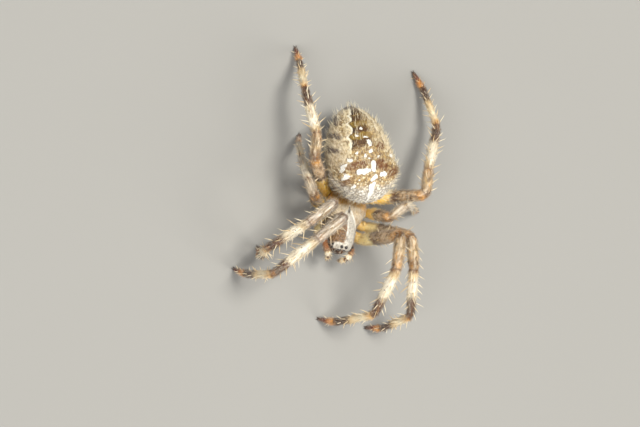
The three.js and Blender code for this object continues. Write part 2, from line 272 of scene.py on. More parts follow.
# The frames of the two bodies: where each stands, how far it is turned, and how it tips and rolls.
MIDDLE = Vector((0.274, -1.984, 0))  # of the front body, from the middle of the footprint
FRONT_BODY = (
    Matrix.Translation(MIDDLE + Vector((0, 0, 2.6)))
    @ Matrix.Rotation(radians(-3), 4, "X")
    @ Matrix.Rotation(radians(6), 4, "Y")
)
REAR_BODY = (
    Matrix.Translation(MIDDLE + Vector((-0.2, 4.64, 3.9)))
    @ Matrix.Rotation(radians(17.5), 4, "Z")
    @ Matrix.Rotation(radians(-11), 4, "X")
    @ Matrix.Rotation(radians(6), 4, "Y")
)
SIDES = {"left": 1, "right": -1}


def moved(matrix, points):
    """Points, one a row, taken through a matrix."""
    matrix = np.array(matrix)
    return points @ matrix[:3, :3].T + matrix[:3, 3]


def turned(matrix, way):
    """A way turned as a matrix turns things."""
    return np.array(matrix.to_3x3() @ Vector(way))


def on_front(places, side):
    """Places set on the left of the front body, moved there or to the same places on its right."""
    return moved(FRONT_BODY, np.array(places) * (side, 1, 1))


def unit(rows):
    """Rows drawn out or in to a length of 1."""
    return rows / np.maximum(np.linalg.norm(rows, axis=-1, keepdims=True), 1e-9)


def step(low, high, value):
    """0 up to low, 1 from high on, and a smooth step between."""
    share = np.clip((value - low) / (high - low), 0, 1)
    return share * share * (3 - 2 * share)


def dip(value, width):
    """1 at a value of 0, and off to nothing over a few widths to either side."""
    return np.exp(-((value / width) ** 2))


LINE_STEP = 0.06  # millimetres between the rounds of a swept limb


def limb_line(points, marks, radius_at):
    """A limb's line in even steps: place, way, frame, length so far, joints passed so far and radius."""
    run = np.r_[0, np.cumsum(np.linalg.norm(np.diff(points, axis=0), axis=1))]
    arc = np.linspace(0, run[-1], int(run[-1] / LINE_STEP) + 1)
    at = np.stack([np.interp(arc, run, points[:, k]) for k in range(3)], 1)
    way = unit(np.gradient(at, axis=0))
    over = [np.array([0.0, 0.0, 1.0])]
    for ahead in way:
        upright = over[-1] - ahead * (over[-1] @ ahead)
        over.append(upright / np.linalg.norm(upright))
    over = np.array(over[1:])
    mark = np.interp(arc, run[marks], np.arange(len(marks)))
    radius = radius_at(mark, arc, run[marks])
    return SimpleNamespace(
        at=at, way=way, over=over, beside=np.cross(way, over), arc=arc, mark=mark, radius=radius
    )


LEG_SIZES = (  # femur, patella, tibia, metatarsus, tarsus, stoutness
    (5.2, 2.65, 4.4, 4.3, 1.5, 1.0),
    (4.8, 2.45, 3.9, 3.8, 1.4, 0.97),
    (3.0, 1.5, 2.25, 2.2, 1.1, 0.84),
    (4.7, 2.0, 3.8, 3.6, 1.3, 0.93),
)
COXAE = (  # where each starts beside the breastplate, and where it carries its femur
    ((0.72, -1.06, -0.74), (1.88, -1.6, -0.42)),
    ((0.76, -0.38, -0.74), (2.2, -0.55, -0.45)),
    ((0.72, 0.34, -0.74), (2.15, 0.58, -0.45)),
    ((0.6, 0.98, -0.74), (1.78, 1.65, -0.42)),
)
LEG_POSES = {  # heading and rise of femur, patella and tibia, then headings of metatarsus and tarsus
    1: (
        ((24, 74), (-92, 12), (-96, -32), -152, 174),
        ((-10, 62), (-76, -1), (-77, -19), -127, -176),
        ((-18, 73), (49, 5), (5, -54), -6, 6),
        ((13, 27), (88, -15), (81, -16), 109, 125),
    ),
    -1: (
        ((93, 78), (-48, -3), (-51, -21), -7, 32),
        ((67, 77), (-46, -1), (-46, -30), 206, 98),
        ((11, 62), (73, -33), (76, -35), 106, 110),
        ((39, 47), (96, -22), (71, -18), 96, 79),
    ),
}
FOOT_HEIGHT = 0.18  # millimetres from the floor to the middle of the coated foot's tip
FOOT_FLEX = 12  # degrees by which the tarsus falls less steeply than the metatarsus
FOOT_PRESS = 0.012  # millimetres of the foot's hide that are pressed flat on the floor
LEAST_RADIUS = 0.25  # of a leg with its coat


def leg_joints(side, number):
    """The places of a leg's joints, from its root beside the breastplate to the tip of its foot."""
    femur, patella, tibia, metatarsus, tarsus, _ = LEG_SIZES[number]
    *upper, metatarsus_heading, tarsus_heading = LEG_POSES[side][number]
    joints = list(on_front(COXAE[number], side))
    for length, (heading, rise) in zip((femur, patella, tibia), upper):
        joints.append(joints[-1] + length * towards(heading, rise, side))
    reach = metatarsus + tarsus * cos(radians(FOOT_FLEX))
    slack = tarsus * sin(radians(FOOT_FLEX))
    fall = np.arcsin((joints[-1][2] - FOOT_HEIGHT) / np.hypot(reach, slack)) + np.arctan2(slack, reach)
    fall = np.degrees(fall)
    joints.append(joints[-1] + metatarsus * towards(metatarsus_heading, -fall, side))
    joints.append(joints[-1] + tarsus * towards(tarsus_heading, FOOT_FLEX - fall, side))
    return np.array(joints)


BEND = 0.55  # millimetres of a run that a bend takes up at either end, if that leaves a tenth of it straight
BEND_POINTS = 15


def bent_through(joints):
    """Straight runs joined by rounded bends, and the row of each joint's middle."""
    points = [joints[0]]
    marks = [0]
    share = np.linspace(0, 1, BEND_POINTS)[:, None]
    for before, joint, after in zip(joints, joints[1:], joints[2:]):
        ends = []
        for other in (before, after):
            way = other - joint
            ends.append(joint + way * min(0.45, BEND / np.linalg.norm(way)))
        curve = (1 - share) ** 2 * ends[0] + 2 * share * (1 - share) * joint + share**2 * ends[1]
        marks.append(len(points) + BEND_POINTS // 2)
        points.extend(curve)
    marks.append(len(points))
    points.append(joints[-1])
    return np.array(points), marks


def leg_radius(girth):
    """How thick a leg's hide is along it: a swell in each segment, a collar and a crease at each joint."""

    def radius_at(mark, arc, joint_arcs):
        at_joints = np.array([0.3, 0.41, 0.43, 0.4, 0.33, 0.29, 0.25]) * girth
        swell = np.array([0.06, 0.12, 0.05, 0.05, 0.0, 0.0])  # more in the middle of each segment
        segment = np.minimum(mark.astype(int), 5)
        share = mark - segment
        radius = np.interp(mark, np.arange(7), at_joints) + swell[segment] * np.sin(pi * share)
        radius = np.maximum(radius, LEAST_RADIUS) - COAT
        radius *= 1 - 0.24 * step(5.0, 6.0, mark)
        for joint in joint_arcs[1:-1]:
            radius *= 1 - 0.15 * dip(arc - joint, 0.11)
            radius += 0.03 * dip(arc - joint + 0.26, 0.13) + 0.02 * dip(arc - joint - 0.26, 0.13)
        return radius

    return radius_at


PER_SPAN = 12  # points of a curve to each span between given places


def curve_through(places, per_span=PER_SPAN):
    """A smooth curve through given places."""
    ends = np.vstack([2 * places[0] - places[1], places, 2 * places[-1] - places[-2]])
    t = np.linspace(0, 1, per_span, endpoint=False)[:, None]
    spans = []
    for a, b, c, d in zip(ends, ends[1:], ends[2:], ends[3:]):
        bow = 2 * b + (c - a) * t + (2 * a - 5 * b + 4 * c - d) * t**2 + (3 * b - a - 3 * c + d) * t**3
        spans.append(0.5 * bow)
    return np.vstack([*spans, places[-1:]])


PALP = (  # the left palp's joints, from its root beside the mouth to its tip
    (0.42, -1.72, -0.95),
    (0.92, -1.84, -0.82),
    (1.14, -2.35, -0.42),
    (1.0, -2.95, -0.1),
    (0.76, -3.32, -0.38),
    (0.52, -3.46, -1.0),
)


def palp_radius(mark, arc, joint_arcs):
    """How thick a palp's hide is along it, with a crease at each joint."""
    radius = np.interp(mark, np.arange(6), [0.22, 0.19, 0.21, 0.215, 0.2, 0.14])
    for joint in joint_arcs[1:-1]:
        radius *= 1 - 0.12 * dip(arc - joint, 0.09)
    return radius


STRIP = 3.7  # millimetres between the limbs' strips where the hide is laid out flat
LEG_STRIPS = 10.4  # where the legs' strips begin in that layout
PALP_STRIPS = 23.4  # where the palps' begin, beyond those of the short third legs

# Each limb as a line: the left legs, the right legs and then the palps.
limbs = []
for side_name, side in SIDES.items():
    for number in range(4):
        points, marks = bent_through(leg_joints(side, number))
        leg = limb_line(points, marks, leg_radius(LEG_SIZES[number][5]))
        # The foot's end comes down on the floor, because its hide is thinner than the outline round its coat.
        leg.at[:, 2] -= step(4.4, 6.0, leg.mark) * (FOOT_HEIGHT - leg.radius[-1] + FOOT_PRESS)
        leg.kind, leg.name, leg.side = "leg", f"leg_{number + 1}_{side_name}", side
        leg.spine_size = 0.72 if number == 2 else 1.0
        leg.strip = (STRIP * (len(limbs) + 0.5), LEG_STRIPS)
        limbs.append(leg)
for side_name, side in SIDES.items():
    points = curve_through(on_front(PALP, side))
    palp = limb_line(points, [PER_SPAN * k for k in range(len(PALP))], palp_radius)
    palp.kind, palp.name, palp.side = "palp", f"palp_{side_name}", side
    palp.spine_size = 0.5
    palp.strip = (STRIP * (2.5 if side > 0 else 6.5), PALP_STRIPS)
    limbs.append(palp)


def ring(shape, at, way, over, radius, segments):
    """The edges of one round of a swept tube."""
    turn = Matrix((over, np.cross(way, over), way)).transposed().to_4x4()
    matrix = Matrix.Translation(at) @ turn
    verts = bmesh.ops.create_circle(shape, segments=segments, radius=radius, matrix=matrix)["verts"]
    return list({edge for vert in verts for edge in vert.link_edges})


def bridged(shape, loops):
    """Closed walls from each loop of edges to the next, as they come, and a lid at either end."""
    before = None
    for edges in loops:
        if before is None:
            bmesh.ops.contextual_create(shape, geom=edges)
        else:
            bmesh.ops.bridge_loops(shape, edges=before + edges)
        before = edges
    bmesh.ops.contextual_create(shape, geom=before)


def sweep(shape, line, rows, segments):
    """A closed tube along a limb's line through the rows asked for, with a rounded end."""
    rounds = [(line.at[i], line.way[i], line.over[i], line.radius[i]) for i in rows]
    at, way, over, radius = rounds[-1]
    for angle in (25, 50, 72):
        bow = radians(angle)
        rounds.append((at + way * radius * sin(bow), way, over, radius * cos(bow)))
    bridged(shape, (ring(shape, *each, segments) for each in rounds))


# Every fleshy part is a closed form of its own in one shape, and they overlap where they join.
hide_shape = bmesh.new()
for limb in limbs:
    last = len(limb.at) - 1
    every_third = [*range(0, last, 3), last]
    sweep(hide_shape, limb, every_third, 20)

ABDOMEN_LENGTH = 7.8
ABDOMEN_WIDTH = 5.25
ABDOMEN_TOP = 2.55  # millimetres from its middle line up to the back, and down to the belly
ABDOMEN_BELLY = 2.35
SHOULDER = 0.34  # the widest place, as a share of the length


def abdomen_form(points, sink):
    """A ball's points moved to the abdomen's form: broad shoulders in front, drawn out toward the rear.

    The back is an ellipse in front of the shoulders and a fuller curve behind them, the belly is flatter in
    front, the cross-section is a little squared, and a low hump stands on each shoulder.
    """
    share = np.clip((points[:, 1] + 1) / 2, 0, 1)
    front = share < SHOULDER
    back = np.clip((share - SHOULDER) / (1 - SHOULDER), 0, 1)
    ahead = np.clip((SHOULDER - share) / SHOULDER, 0, 1)
    behind = (1 - back**2.1) ** 0.55
    full = np.where(front, np.sqrt(1 - ahead**2), behind)
    belly = np.where(front, 1 - ahead**1.2, behind)
    around = unit(points[:, [0, 2]])
    above = around[:, 1] > 0
    hump = 0.1 * dip(share - 0.27, 0.1) * dip(np.abs(around[:, 0]) - 0.86, 0.24) * above
    height = np.where(above, ABDOMEN_TOP * full, ABDOMEN_BELLY * belly)
    square = np.sign(around) * np.abs(around) ** 0.9
    x = np.maximum(ABDOMEN_WIDTH / 2 * full * (1 + hump) - sink, 0) * square[:, 0]
    z = np.maximum(height * (1 + hump) - sink, 0) * square[:, 1]
    return np.stack([x, (share - 0.5) * (ABDOMEN_LENGTH - 2 * sink), z], 1)


abdomen_ball = bmesh.new()
bmesh.ops.create_uvsphere(
    abdomen_ball, u_segments=72, v_segments=48, radius=1, matrix=Matrix.Rotation(pi / 2, 4, "X")
)
ball = np.array([vert.co for vert in abdomen_ball.verts])
for vert, place in zip(abdomen_ball.verts, moved(REAR_BODY, abdomen_form(ball, COAT))):
    vert.co = place
hide_shape.from_mesh(mesh_of("abdomen", abdomen_ball))


def blown(shape, matrix, size, at, segments=28, rings=18, turn=0):
    """A round lump with its own half sizes and turn, at a place on one of the two bodies."""
    made = bmesh.ops.create_uvsphere(shape, u_segments=segments, v_segments=rings, radius=1)["verts"]
    bmesh.ops.scale(shape, verts=made, vec=size)
    bmesh.ops.rotate(shape, verts=made, matrix=Matrix.Rotation(radians(turn), 3, "Z"))
    bmesh.ops.translate(shape, verts=made, vec=at)
    bmesh.ops.transform(shape, verts=made, matrix=matrix)


def cone(shape, matrix, start, end, radii):
    """A short closed tube between two places on one of the two bodies."""
    start, end = matrix @ Vector(start), matrix @ Vector(end)
    way = np.array((end - start).normalized())
    over = np.array((end - start).orthogonal().normalized())
    shares = np.linspace(0, 1, len(radii))
    line = SimpleNamespace(
        at=[np.array(start.lerp(end, share)) for share in shares],
        way=[way] * len(radii),
        over=[over] * len(radii),
        radius=radii,
    )
    sweep(shape, line, range(len(radii)), 16)


SOFT_SIDES = (1.3, 1.85, 0.48)  # half sizes and place of the soft front body, under the shield
SOFT_PLACE = (0, -0.2, -0.52)
WAIST = ((0, 1.5, -0.5), (-0.1, 3.6, -0.1), (0.29, 0.27, 0.29))  # its two ends and its radii
SPINNERET_MOUND = ((0.43, 0.54, 0.4), (0, 2.42, -1.42))  # half sizes and place
SPINNERETS = ((0.26, 2.1, 0.24), (0.22, 2.75, 0.22), (0.12, 2.45, 0.15))  # out, back and radius
SPINNERET_TAPER = (1, 1, 0.93, 0.74, 0.7, 0.5)  # shares of that radius, from root to tip
blown(hide_shape, FRONT_BODY, SOFT_SIDES, SOFT_PLACE)
cone(hide_shape, FRONT_BODY, *WAIST)
blown(hide_shape, REAR_BODY, *SPINNERET_MOUND)
for out, back, radius in SPINNERETS:
    for side in SIDES.values():
        root, tip = (side * out, back, -1.2), (side * 0.7 * out, back + 0.1, -1.86)
        cone(hide_shape, REAR_BODY, root, tip, [share * radius for share in SPINNERET_TAPER])

# They are fused into one closed hide, which is relaxed a little.
source = placed("hide before it is fused", mesh_of("hide before it is fused", hide_shape))
fuse = source.modifiers.new("fuse", "REMESH")
fuse.mode = "VOXEL"
fuse.voxel_size = HIDE_GRID
fuse.use_smooth_shade = True
relax = source.modifiers.new("relax", "SMOOTH")
relax.factor = 0.5
relax.iterations = 5
bpy.context.view_layer.update()
fused = source.evaluated_get(bpy.context.evaluated_depsgraph_get())
skin_mesh = bpy.data.meshes.new_from_object(fused)
skin_mesh.name = "spider_skin"
bpy.data.objects.remove(source)


def read(items, name, width=1, kind=np.float32):
    """One value of each of a mesh's items, as an array with a row for each."""
    found = np.empty(len(items) * width, kind)
    items.foreach_get(name, found)
    return found.reshape(-1, width) if width > 1 else found


# Each point of the hide learns which limb it is on, how far along and how far round, and settles on that
# limb's own thickness, so that the creases and collars at the joints come out clean.
FAR = 9.0  # millimetres, for a point that is off every limb
NEAR = 0.8  # millimetres round a limb in which the points are measured from it
ON_LIMB = 20  # millimetres added to the length along a limb, for each limb before it
co = read(skin_mesh.vertices, "co", 3).astype(float)
count = len(co)
off = np.full((len(limbs) + 1, count), FAR)
where = np.zeros((len(limbs), count, 4))
for k, limb in enumerate(limbs):
    near = ((co > limb.at.min(0) - NEAR) & (co < limb.at.max(0) + NEAR)).all(1).nonzero()[0]
    row = np.zeros(len(near), int)
    for batch in np.array_split(np.arange(len(near)), 12):  # a few at a time, to save memory
        apart = np.linalg.norm(co[near[batch], None] - limb.at[None], axis=2) - limb.radius
        row[batch] = apart.argmin(1)
        off[k, near[batch]] = apart.min(1)
    away = co[near] - limb.at[row]
    ahead = np.clip((away * limb.way[row]).sum(1), -LINE_STEP, LINE_STEP)
    ahead *= (row > 0) & (row < len(limb.at) - 1)
    away -= ahead[:, None] * limb.way[row]
    arc = limb.arc[row] + ahead
    across = (away * limb.beside[row]).sum(1), (away * limb.over[row]).sum(1)
    where[k, near] = np.stack([*across, arc, np.interp(arc, limb.arc, limb.mark)], 1)

# How far each point is off the abdomen, which comes last, and off the soft front body, and how clear it is
# of the part that is second nearest.
home = moved(REAR_BODY.inverted(), co)
ball_way = unit(home / (ABDOMEN_WIDTH / 2, ABDOMEN_LENGTH / 2, (ABDOMEN_TOP + ABDOMEN_BELLY) / 2))
off[-1] = np.linalg.norm(home, axis=1) - np.linalg.norm(abdomen_form(ball_way, COAT), axis=1)
off[-1][home[:, 1] < -4.2] = FAR
order = np.argsort(off, axis=0)
nearest = order[0]
least = off[nearest, np.arange(count)]
clear = off[order[1], np.arange(count)] - least
core = moved(FRONT_BODY.inverted(), co)
off_core = (np.linalg.norm((core - SOFT_PLACE) / SOFT_SIDES, axis=1) - 1) * 0.6
clear = np.minimum(clear, off_core - least)

# What each point belongs to, where it is on that part, and which way the hair lies there.
MEMBRANE, ABDOMEN, LEG, PALPS, SPINNERET = range(5)
part = np.full(count, MEMBRANE)
spot = core.copy()
along = np.zeros(count)
lie = np.tile(turned(FRONT_BODY, (0, 1, 0)), (count, 1))
limb_of = np.full(count, -1)
for k, limb in enumerate(limbs):
    mine = (nearest == k) & (off[k] < 0.12) & (off_core > off[k] - 0.02)
    beside, over, arc, mark = where[k, mine].T
    rows = np.clip(np.searchsorted(limb.arc, arc), 0, len(limb.arc) - 1)
    wide = np.hypot(beside, over)
    settle = step(0.08, 0.2, clear[mine]) * (arc < limb.arc[-1] - 0.01) * (arc > 0.05)
    change = settle * (np.interp(arc, limb.arc, limb.radius) / np.maximum(wide, 0.01) - 1)
    outward = beside[:, None] * limb.beside[rows] + over[:, None] * limb.over[rows]
    co[mine] += change[:, None] * outward
    part[mine] = LEG if limb.kind == "leg" else PALPS
    spot[mine] = np.stack([beside, over, arc + ON_LIMB * k], 1)
    along[mine] = mark
    lie[mine] = limb.way[rows]
    limb_of[mine] = k
rear = (nearest == len(limbs)) & (off[-1] < 0.4)
part[rear] = ABDOMEN
spot[rear] = home[rear]
lie[rear] = turned(REAR_BODY, (0, 1, 0))
teats = (home[:, 2] < -1.25) & (np.abs(home[:, 1] - 2.45) < 0.9) & (np.abs(home[:, 0]) < 0.6)
part[rear & teats & (off[-1] > 0.03)] = SPINNERET
co[:, 2] = np.maximum(co[:, 2], 0.0)
skin_mesh.vertices.foreach_set("co", co.astype(np.float32).ravel())


def note(mesh, **values):
    """Keeps values for each point of a mesh, under names that materials read. One value may serve all."""
    for name, rows in values.items():
        rows = np.asarray(rows, np.float32)
        count = len(mesh.vertices)
        if rows.shape[-1:] == (3,):
            kept = mesh.attributes.new(name, "FLOAT_VECTOR", "POINT")
            kept.data.foreach_set("vector", np.broadcast_to(rows, (count, 3)).ravel())
        else:
            kept = mesh.attributes.new(name, "FLOAT", "POINT")
            kept.data.foreach_set("value", np.broadcast_to(rows, count).ravel())


note(skin_mesh, spot=spot, along=along, lie=lie)

# The hide is laid out flat piece by piece: the legs as ten strips cut along their undersides, and the
# abdomen and the soft front body as an upper and a lower round.
SHEET = 30.0  # millimetres across the whole layout
ABDOMEN_HALVES = (2.6, 3.9, 2.45)  # millimetres, roughly half its width, length and height
corner = read(skin_mesh.loops, "vertex_index", kind=np.int32)
starts = read(skin_mesh.polygons, "loop_start", kind=np.int32)
first = np.repeat(corner[starts], np.diff(np.r_[starts, len(corner)]))
turn = np.arctan2(spot[:, 0], spot[:, 1])
swing = (turn[corner] - turn[first] + pi) % (2 * pi) - pi
layout = np.zeros((len(corner), 2))
for k, limb in enumerate(limbs):
    mine = limb_of[first] == k
    middle, root = limb.strip
    length = np.where(limb_of[corner[mine]] == k, spot[corner[mine], 2] - ON_LIMB * k, 0.0)
    layout[mine, 0] = middle + 0.5 * (turn[first][mine] + swing[mine])
    layout[mine, 1] = root + length
FLAT_ROUNDS = (  # kinds of hide, ways out from their middle, centre and half size, step to the lower round
    ((ABDOMEN, SPINNERET), unit(home / ABDOMEN_HALVES), (4.1, 5.2), (3.9, 5.0), 8.2),
    ((MEMBRANE,), unit((core - (0, 1.5, -0.5)) / (2, 4, 1)), (20.4, 5.2), (1.9, 4.9), 4.0),
)
for kinds, outward, centre, reach, aside in FLAT_ROUNDS:
    for lower in (False, True):
        upward = -outward[:, 2] if lower else outward[:, 2]
        mine = (upward[first] >= 0) & np.isin(part[first], kinds)
        tilt = np.arccos(np.clip(upward[corner[mine]], -1, 1)) / (pi / 2)
        flat = unit(outward[corner[mine]][:, :2]) * tilt[:, None] * reach
        layout[mine] = flat + centre + np.array([aside, 0]) * lower
flat_map = skin_mesh.uv_layers.new(name="OFBake")
flat_map.uv.foreach_set("vector", np.clip(layout / SHEET, 0, 1).astype(np.float32).ravel())
skin_mesh.polygons.foreach_set("material_index", part[corner[starts]].astype(np.int32))


def grain(wire, height, depth):
    """The surface's own unevenness as a normal. Depth is in metres, for a height from 0 to 1."""
    return wire.node("Bump", None, {"Height": height, "Distance": depth, "Strength": 1.0})


def oval(across, down, size):
    """How far out of an oval a place lies, squared: 1 on its rim."""
    across = across / size[0]
    down = down / size[1]
    return across * across + down * down


def most(first_mask, *masks):
    """The strongest of some masks at each place."""
    for mask in masks:
        first_mask = first_mask.math("MAXIMUM", mask)
    return first_mask


LEAF_LENGTH = 4.0
LEAF_UNIT = 2.0  # millimetres that its half widths are counted in
LEAF = (  # share of its length back from the cross, its half width there, and how dark it is
    (0.0, 0.84, 0.2),
    (0.1, 0.7, 0.95),
    (0.19, 0.645, 0.85),
    (0.23, 0.64, 0.3),
    (0.3, 0.7, 0.1),
    (0.345, 0.68, 0.35),
    (0.375, 0.52, 1.0),
    (0.4, 0.48, 0.9),
    (0.46, 0.45, 0.75),
    (0.49, 0.46, 0.25),
    (0.56, 0.54, 0.1),
    (0.585, 0.5, 0.4),
    (0.62, 0.37, 1.0),
    (0.68, 0.31, 0.9),
    (0.73, 0.35, 0.3),
    (0.75, 0.25, 1.0),
    (0.83, 0.16, 0.8),
    (1.0, 0.0, 0.8),
)


def abdomen_marks(wire):
    """The abdomen's pattern: a white cross on mottled sand and brown, a scalloped leaf and pale flanks."""
    place = wire.spot()
    x, y, z = place.axes()
    slow = place.noise(1.9, 3.0, out=1).axes()
    quick = place.noise(6.5, out=1).axes()
    rough = place.noise(4.2, 5.0, 0.68)
    fine = place.noise(11.0, 3.0, 0.65)
    sway = {0: place.noise(7.0, out=1), 1: (0.14,) * 3, 2: place}
    bent = wire.node("VectorMath", {"operation": "MULTIPLY_ADD"}, sway)
    tile = bent.cells(5.6, out=1).axes()
    blob = (bent.cells(5.6) + 0.5 * (fine - 0.5)).rise(0.62, 0.4)
    middle = x + 0.3 * ((0.6 - y) / 4.0).rise(0.0, 1.0)
    u = middle + 0.42 * (slow[0] - 0.5) + 0.2 * (quick[0] - 0.5)
    v = y + 0.42 * (slow[1] - 0.5) + 0.2 * (quick[1] - 0.5)
    upper = z.rise(-0.4, 0.2)

    def blot(at, size, tilt=0.0, soft=0.2):
        turn = radians(tilt)
        across = (u - at[0]) * cos(turn) + (v - at[1]) * sin(turn)
        down = (v - at[1]) * cos(turn) - (u - at[0]) * sin(turn)
        return oval(across, down, size).math("SQRT").rise(1 + soft, 1 - soft)

    def blots(*rows):
        return most(*[blot(*row) for row in rows])

    # The ground: small cream, yellow and brown grains with dark seams, greyer and paler toward the front.
    mottle = rough.rise(0.36, 0.62)
    front_edge = most((0 - v - z * 0.3).rise(1.9, 3.0), (0 - v - z).rise(0.7, 1.7) * 0.9)
    greys = (blob * 0.3 + tile[0] * 0.3 + rough * 0.5).rise(0.35, 0.65).paint("a29e94", "fffdf6")
    colour = mottle.paint("6a4d27", "bb9c62").painted(
        (blob * tile[0].rise(0.35, 0.6) * 0.85, "f2e4be"),
        (blob * tile[1].rise(0.6, 0.8) * 0.7, "c4a064"),
        (blob * tile[2].rise(0.75, 0.9) * 0.7, "6b4a2f"),
        (fine.rise(0.52, 0.7) * 0.45, "f6edd6"),
        (fine.rise(0.44, 0.32) * 0.5, "553a22"),
        (front_edge * 0.75, greys.painted((fine.rise(0.46, 0.34) * 0.4, "6a6256"))),
    )

    # The leaf: its scalloped edge steps in toward the rear, dark behind each step and olive before the next.
    side = abs(middle) + 0.16 * (slow[0] - 0.5) + 0.07 * (quick[1] - 0.5)
    back = v + 0.1 * side
    leaf = (back / LEAF_LENGTH).ramp([(at, (half, dark, 0, 1)) for at, half, dark in LEAF]).axes()
    edge = side - leaf[0] * LEAF_UNIT
    # Painted glare: over the left half of the back the leaf is faded and pale cream is laid on, a painted
    # highlight of the light on the hair there.
    outside_glare = 1 - 0.72 * (middle + 0.5 * (slow[2] - 0.5)).rise(0.0, 0.4)
    inner = (leaf[1] + 1.2 * (rough - 0.5)).rise(0.25, 0.75).paint("8f7226", "4f300b").painted(
        (fine.rise(0.54, 0.7) * 0.5, "c9a75c"),
        (tile[2].rise(0.6, 0.8) * 0.45, "6b4720"),
        (fine.rise(0.44, 0.32) * 0.7, "2c1a08"),
    )
    rim = abs(edge + 0.04).rise(0.12, 0.03) * back.rise(0.2, 0.45) * upper * outside_glare
    border = abs(edge - 0.26).rise(0.3, 0.14) * back.rise(-0.4, 0.3) * upper
    crest = abs(edge - 0.1).rise(0.1, 0.04) * back.rise(0.1, 0.4) * upper * (0.35 + 0.65 * outside_glare)
    # painted glare: pale cream laid over the left half of the back
    painted_glare = (middle + 0.4 * (slow[0] - 0.5)).rise(0.3, 0.9) * back.rise(-0.6, 0.2) * upper
    colour = colour.painted(
        (edge.rise(0.03, -0.03) * back.rise(0.16, 0.4) * upper * outside_glare, inner),
        (rim * (0.45 + 0.5 * leaf[1]), "35200d"),
        (border * (0.15 + 0.55 * rough.rise(0.38, 0.58)), "efdfb8"),
        (crest * 0.85, "fcf4de"),
        (painted_glare * (0.1 + 0.3 * rough.rise(0.4, 0.6)), "ecdcb8"),
    )

    # Brown shadows behind the arms of the cross and on the shoulders.
    brown = blots(
        ((-1.2, -1.2), (0.85, 0.32), 6, 0.3),
        ((0.8, -1.42), (0.7, 0.46), -20, 0.35),
        ((0.8, -0.02), (0.34, 0.2), 0, 0.4),
        ((1.9, -2.0), (0.66, 0.34), 15, 0.4),
        ((0.98, 0.1), (0.34, 0.26), -25, 0.4),
    )
    brown = most(brown, blot((-1.75, -2.25), (0.4, 0.2), 10, 0.4) * 0.7)

    # The flanks: cream with slanting grey-brown patches, darker and browner below.
    flank = (abs(x).rise(1.5, 2.0) + z.rise(1.2, 0.4)).math("MINIMUM", 1.0) * v.rise(-1.5, -0.5)
    slant = ((y + z * 0.35 - 0.64) * 5.6 + (slow[1] - 0.5) * 3.4).math("COSINE")
    patches = (slant + (rough - 0.5) * 3.6 + 0.45 * y.rise(1.9, 2.4)).rise(0.0, 0.7)
    patches = patches * (z + 1.4 * (slow[0] - 0.5)).rise(1.7, 1.1) * v.rise(0.0, 0.3)
    patches = patches * (0.55 + 0.45 * (z + 1.6 * (slow[2] - 0.5)).rise(-0.6, 0.2))
    low = z.rise(-1.3, -1.7)
    commas = oval(abs(x) - 0.74, v - 0.1, (0.2, 0.85)).rise(1.2, 0.7)
    lungs = oval(abs(x) - 0.85, v + 2.1, (0.5, 0.55)).rise(1.1, 0.8)
    colour = colour.painted(
        (brown * (0.5 + 0.5 * rough.rise(0.64, 0.42)), "6a3e14"),
        (flank * (0.6 + 0.35 * x.rise(1.2, 1.8)), mottle.paint("cdb282", "fbf1d8")),
        (flank * patches * 0.9, fine.rise(0.38, 0.66).paint("342926", "87756b")),
        (z.rise(-0.5, -1.4), mottle.paint("4c3826", "86694a")),
        ((abs(x) + (slow[2] - 0.5)).rise(1.05, 0.8) * low, mottle.paint("231811", "4a3526")),
        (commas * low, "e3d29c"),
        (lungs * z.rise(-0.9, -1.3), fine.paint("94703f", "c19c66")),
    )

    # The white marks, raised a little: the cross, the spots behind it and the streaks on the shoulders.
    cross = blots(
        ((0.0, -3.32), (0.2, 0.56)),
        ((0.02, -2.84), (0.29, 0.25)),
        ((0.1, -2.3), (0.33, 0.19), 25),
        ((-0.74, -1.73), (0.6, 0.21), -4),
        ((0.94, -2.13), (0.34, 0.18), -8),
        ((0.05, -1.42), (0.22, 0.5), 4),
    )
    dots = blots(
        ((0.0, 0.4), (0.19, 0.3)),
        ((0.0, -0.25), (0.17, 0.15)),
        ((-0.55, -0.52), (0.15, 0.15)),
        ((-0.85, 1.12), (0.15, 0.12)),
        ((-0.33, 1.66), (0.13, 0.11)),
        ((-0.12, 0.9), (0.19, 0.09)),
        ((-1.2, -0.2), (0.17, 0.13)),
        ((-1.3, -2.72), (0.15, 0.12)),
        ((-0.3, -0.8), (0.1, 0.08)),
        ((0.55, -0.75), (0.12, 0.1)),
        ((-1.0, -2.35), (0.1, 0.08)),
    )
    streaks = blots(
        ((-2.12, -1.16), (0.15, 0.4), -32),
        ((-1.66, -0.7), (0.25, 0.14), -25),
        ((-2.0, -1.92), (0.24, 0.21)),
        ((2.5, -1.16), (0.17, 0.42), 32),
        ((1.98, -0.7), (0.25, 0.14), 25),
    )
    white = most(cross, dots * 0.74, streaks * 0.9) * z.rise(-0.1, 0.25) + 0.25 * (fine - 0.5)
    colour = colour.painted(
        ((white.rise(0.02, 0.3) - white.rise(0.35, 0.7)) * 0.7, "4e331d"),
        (white.rise(0.4, 0.7), fine.rise(0.35, 0.6).paint("e4dcc6", "fefdf8")),
    )
    return colour, place, white


def abdomen_look(wire):
    colour, place, white = abdomen_marks(wire)
    wrinkles = place.stretched(1.0, 2.4, 1.6).noise(5.0, 4.0, 0.6)
    pits = place.cells(7.5).rise(0.0, 0.5)
    return {
        "Base Color": colour,
        "Roughness": 0.62 - 0.18 * wrinkles,
        "Normal": grain(wire, wrinkles * 0.6 + pits * 0.25 + white * 0.5, 0.00007),
    }


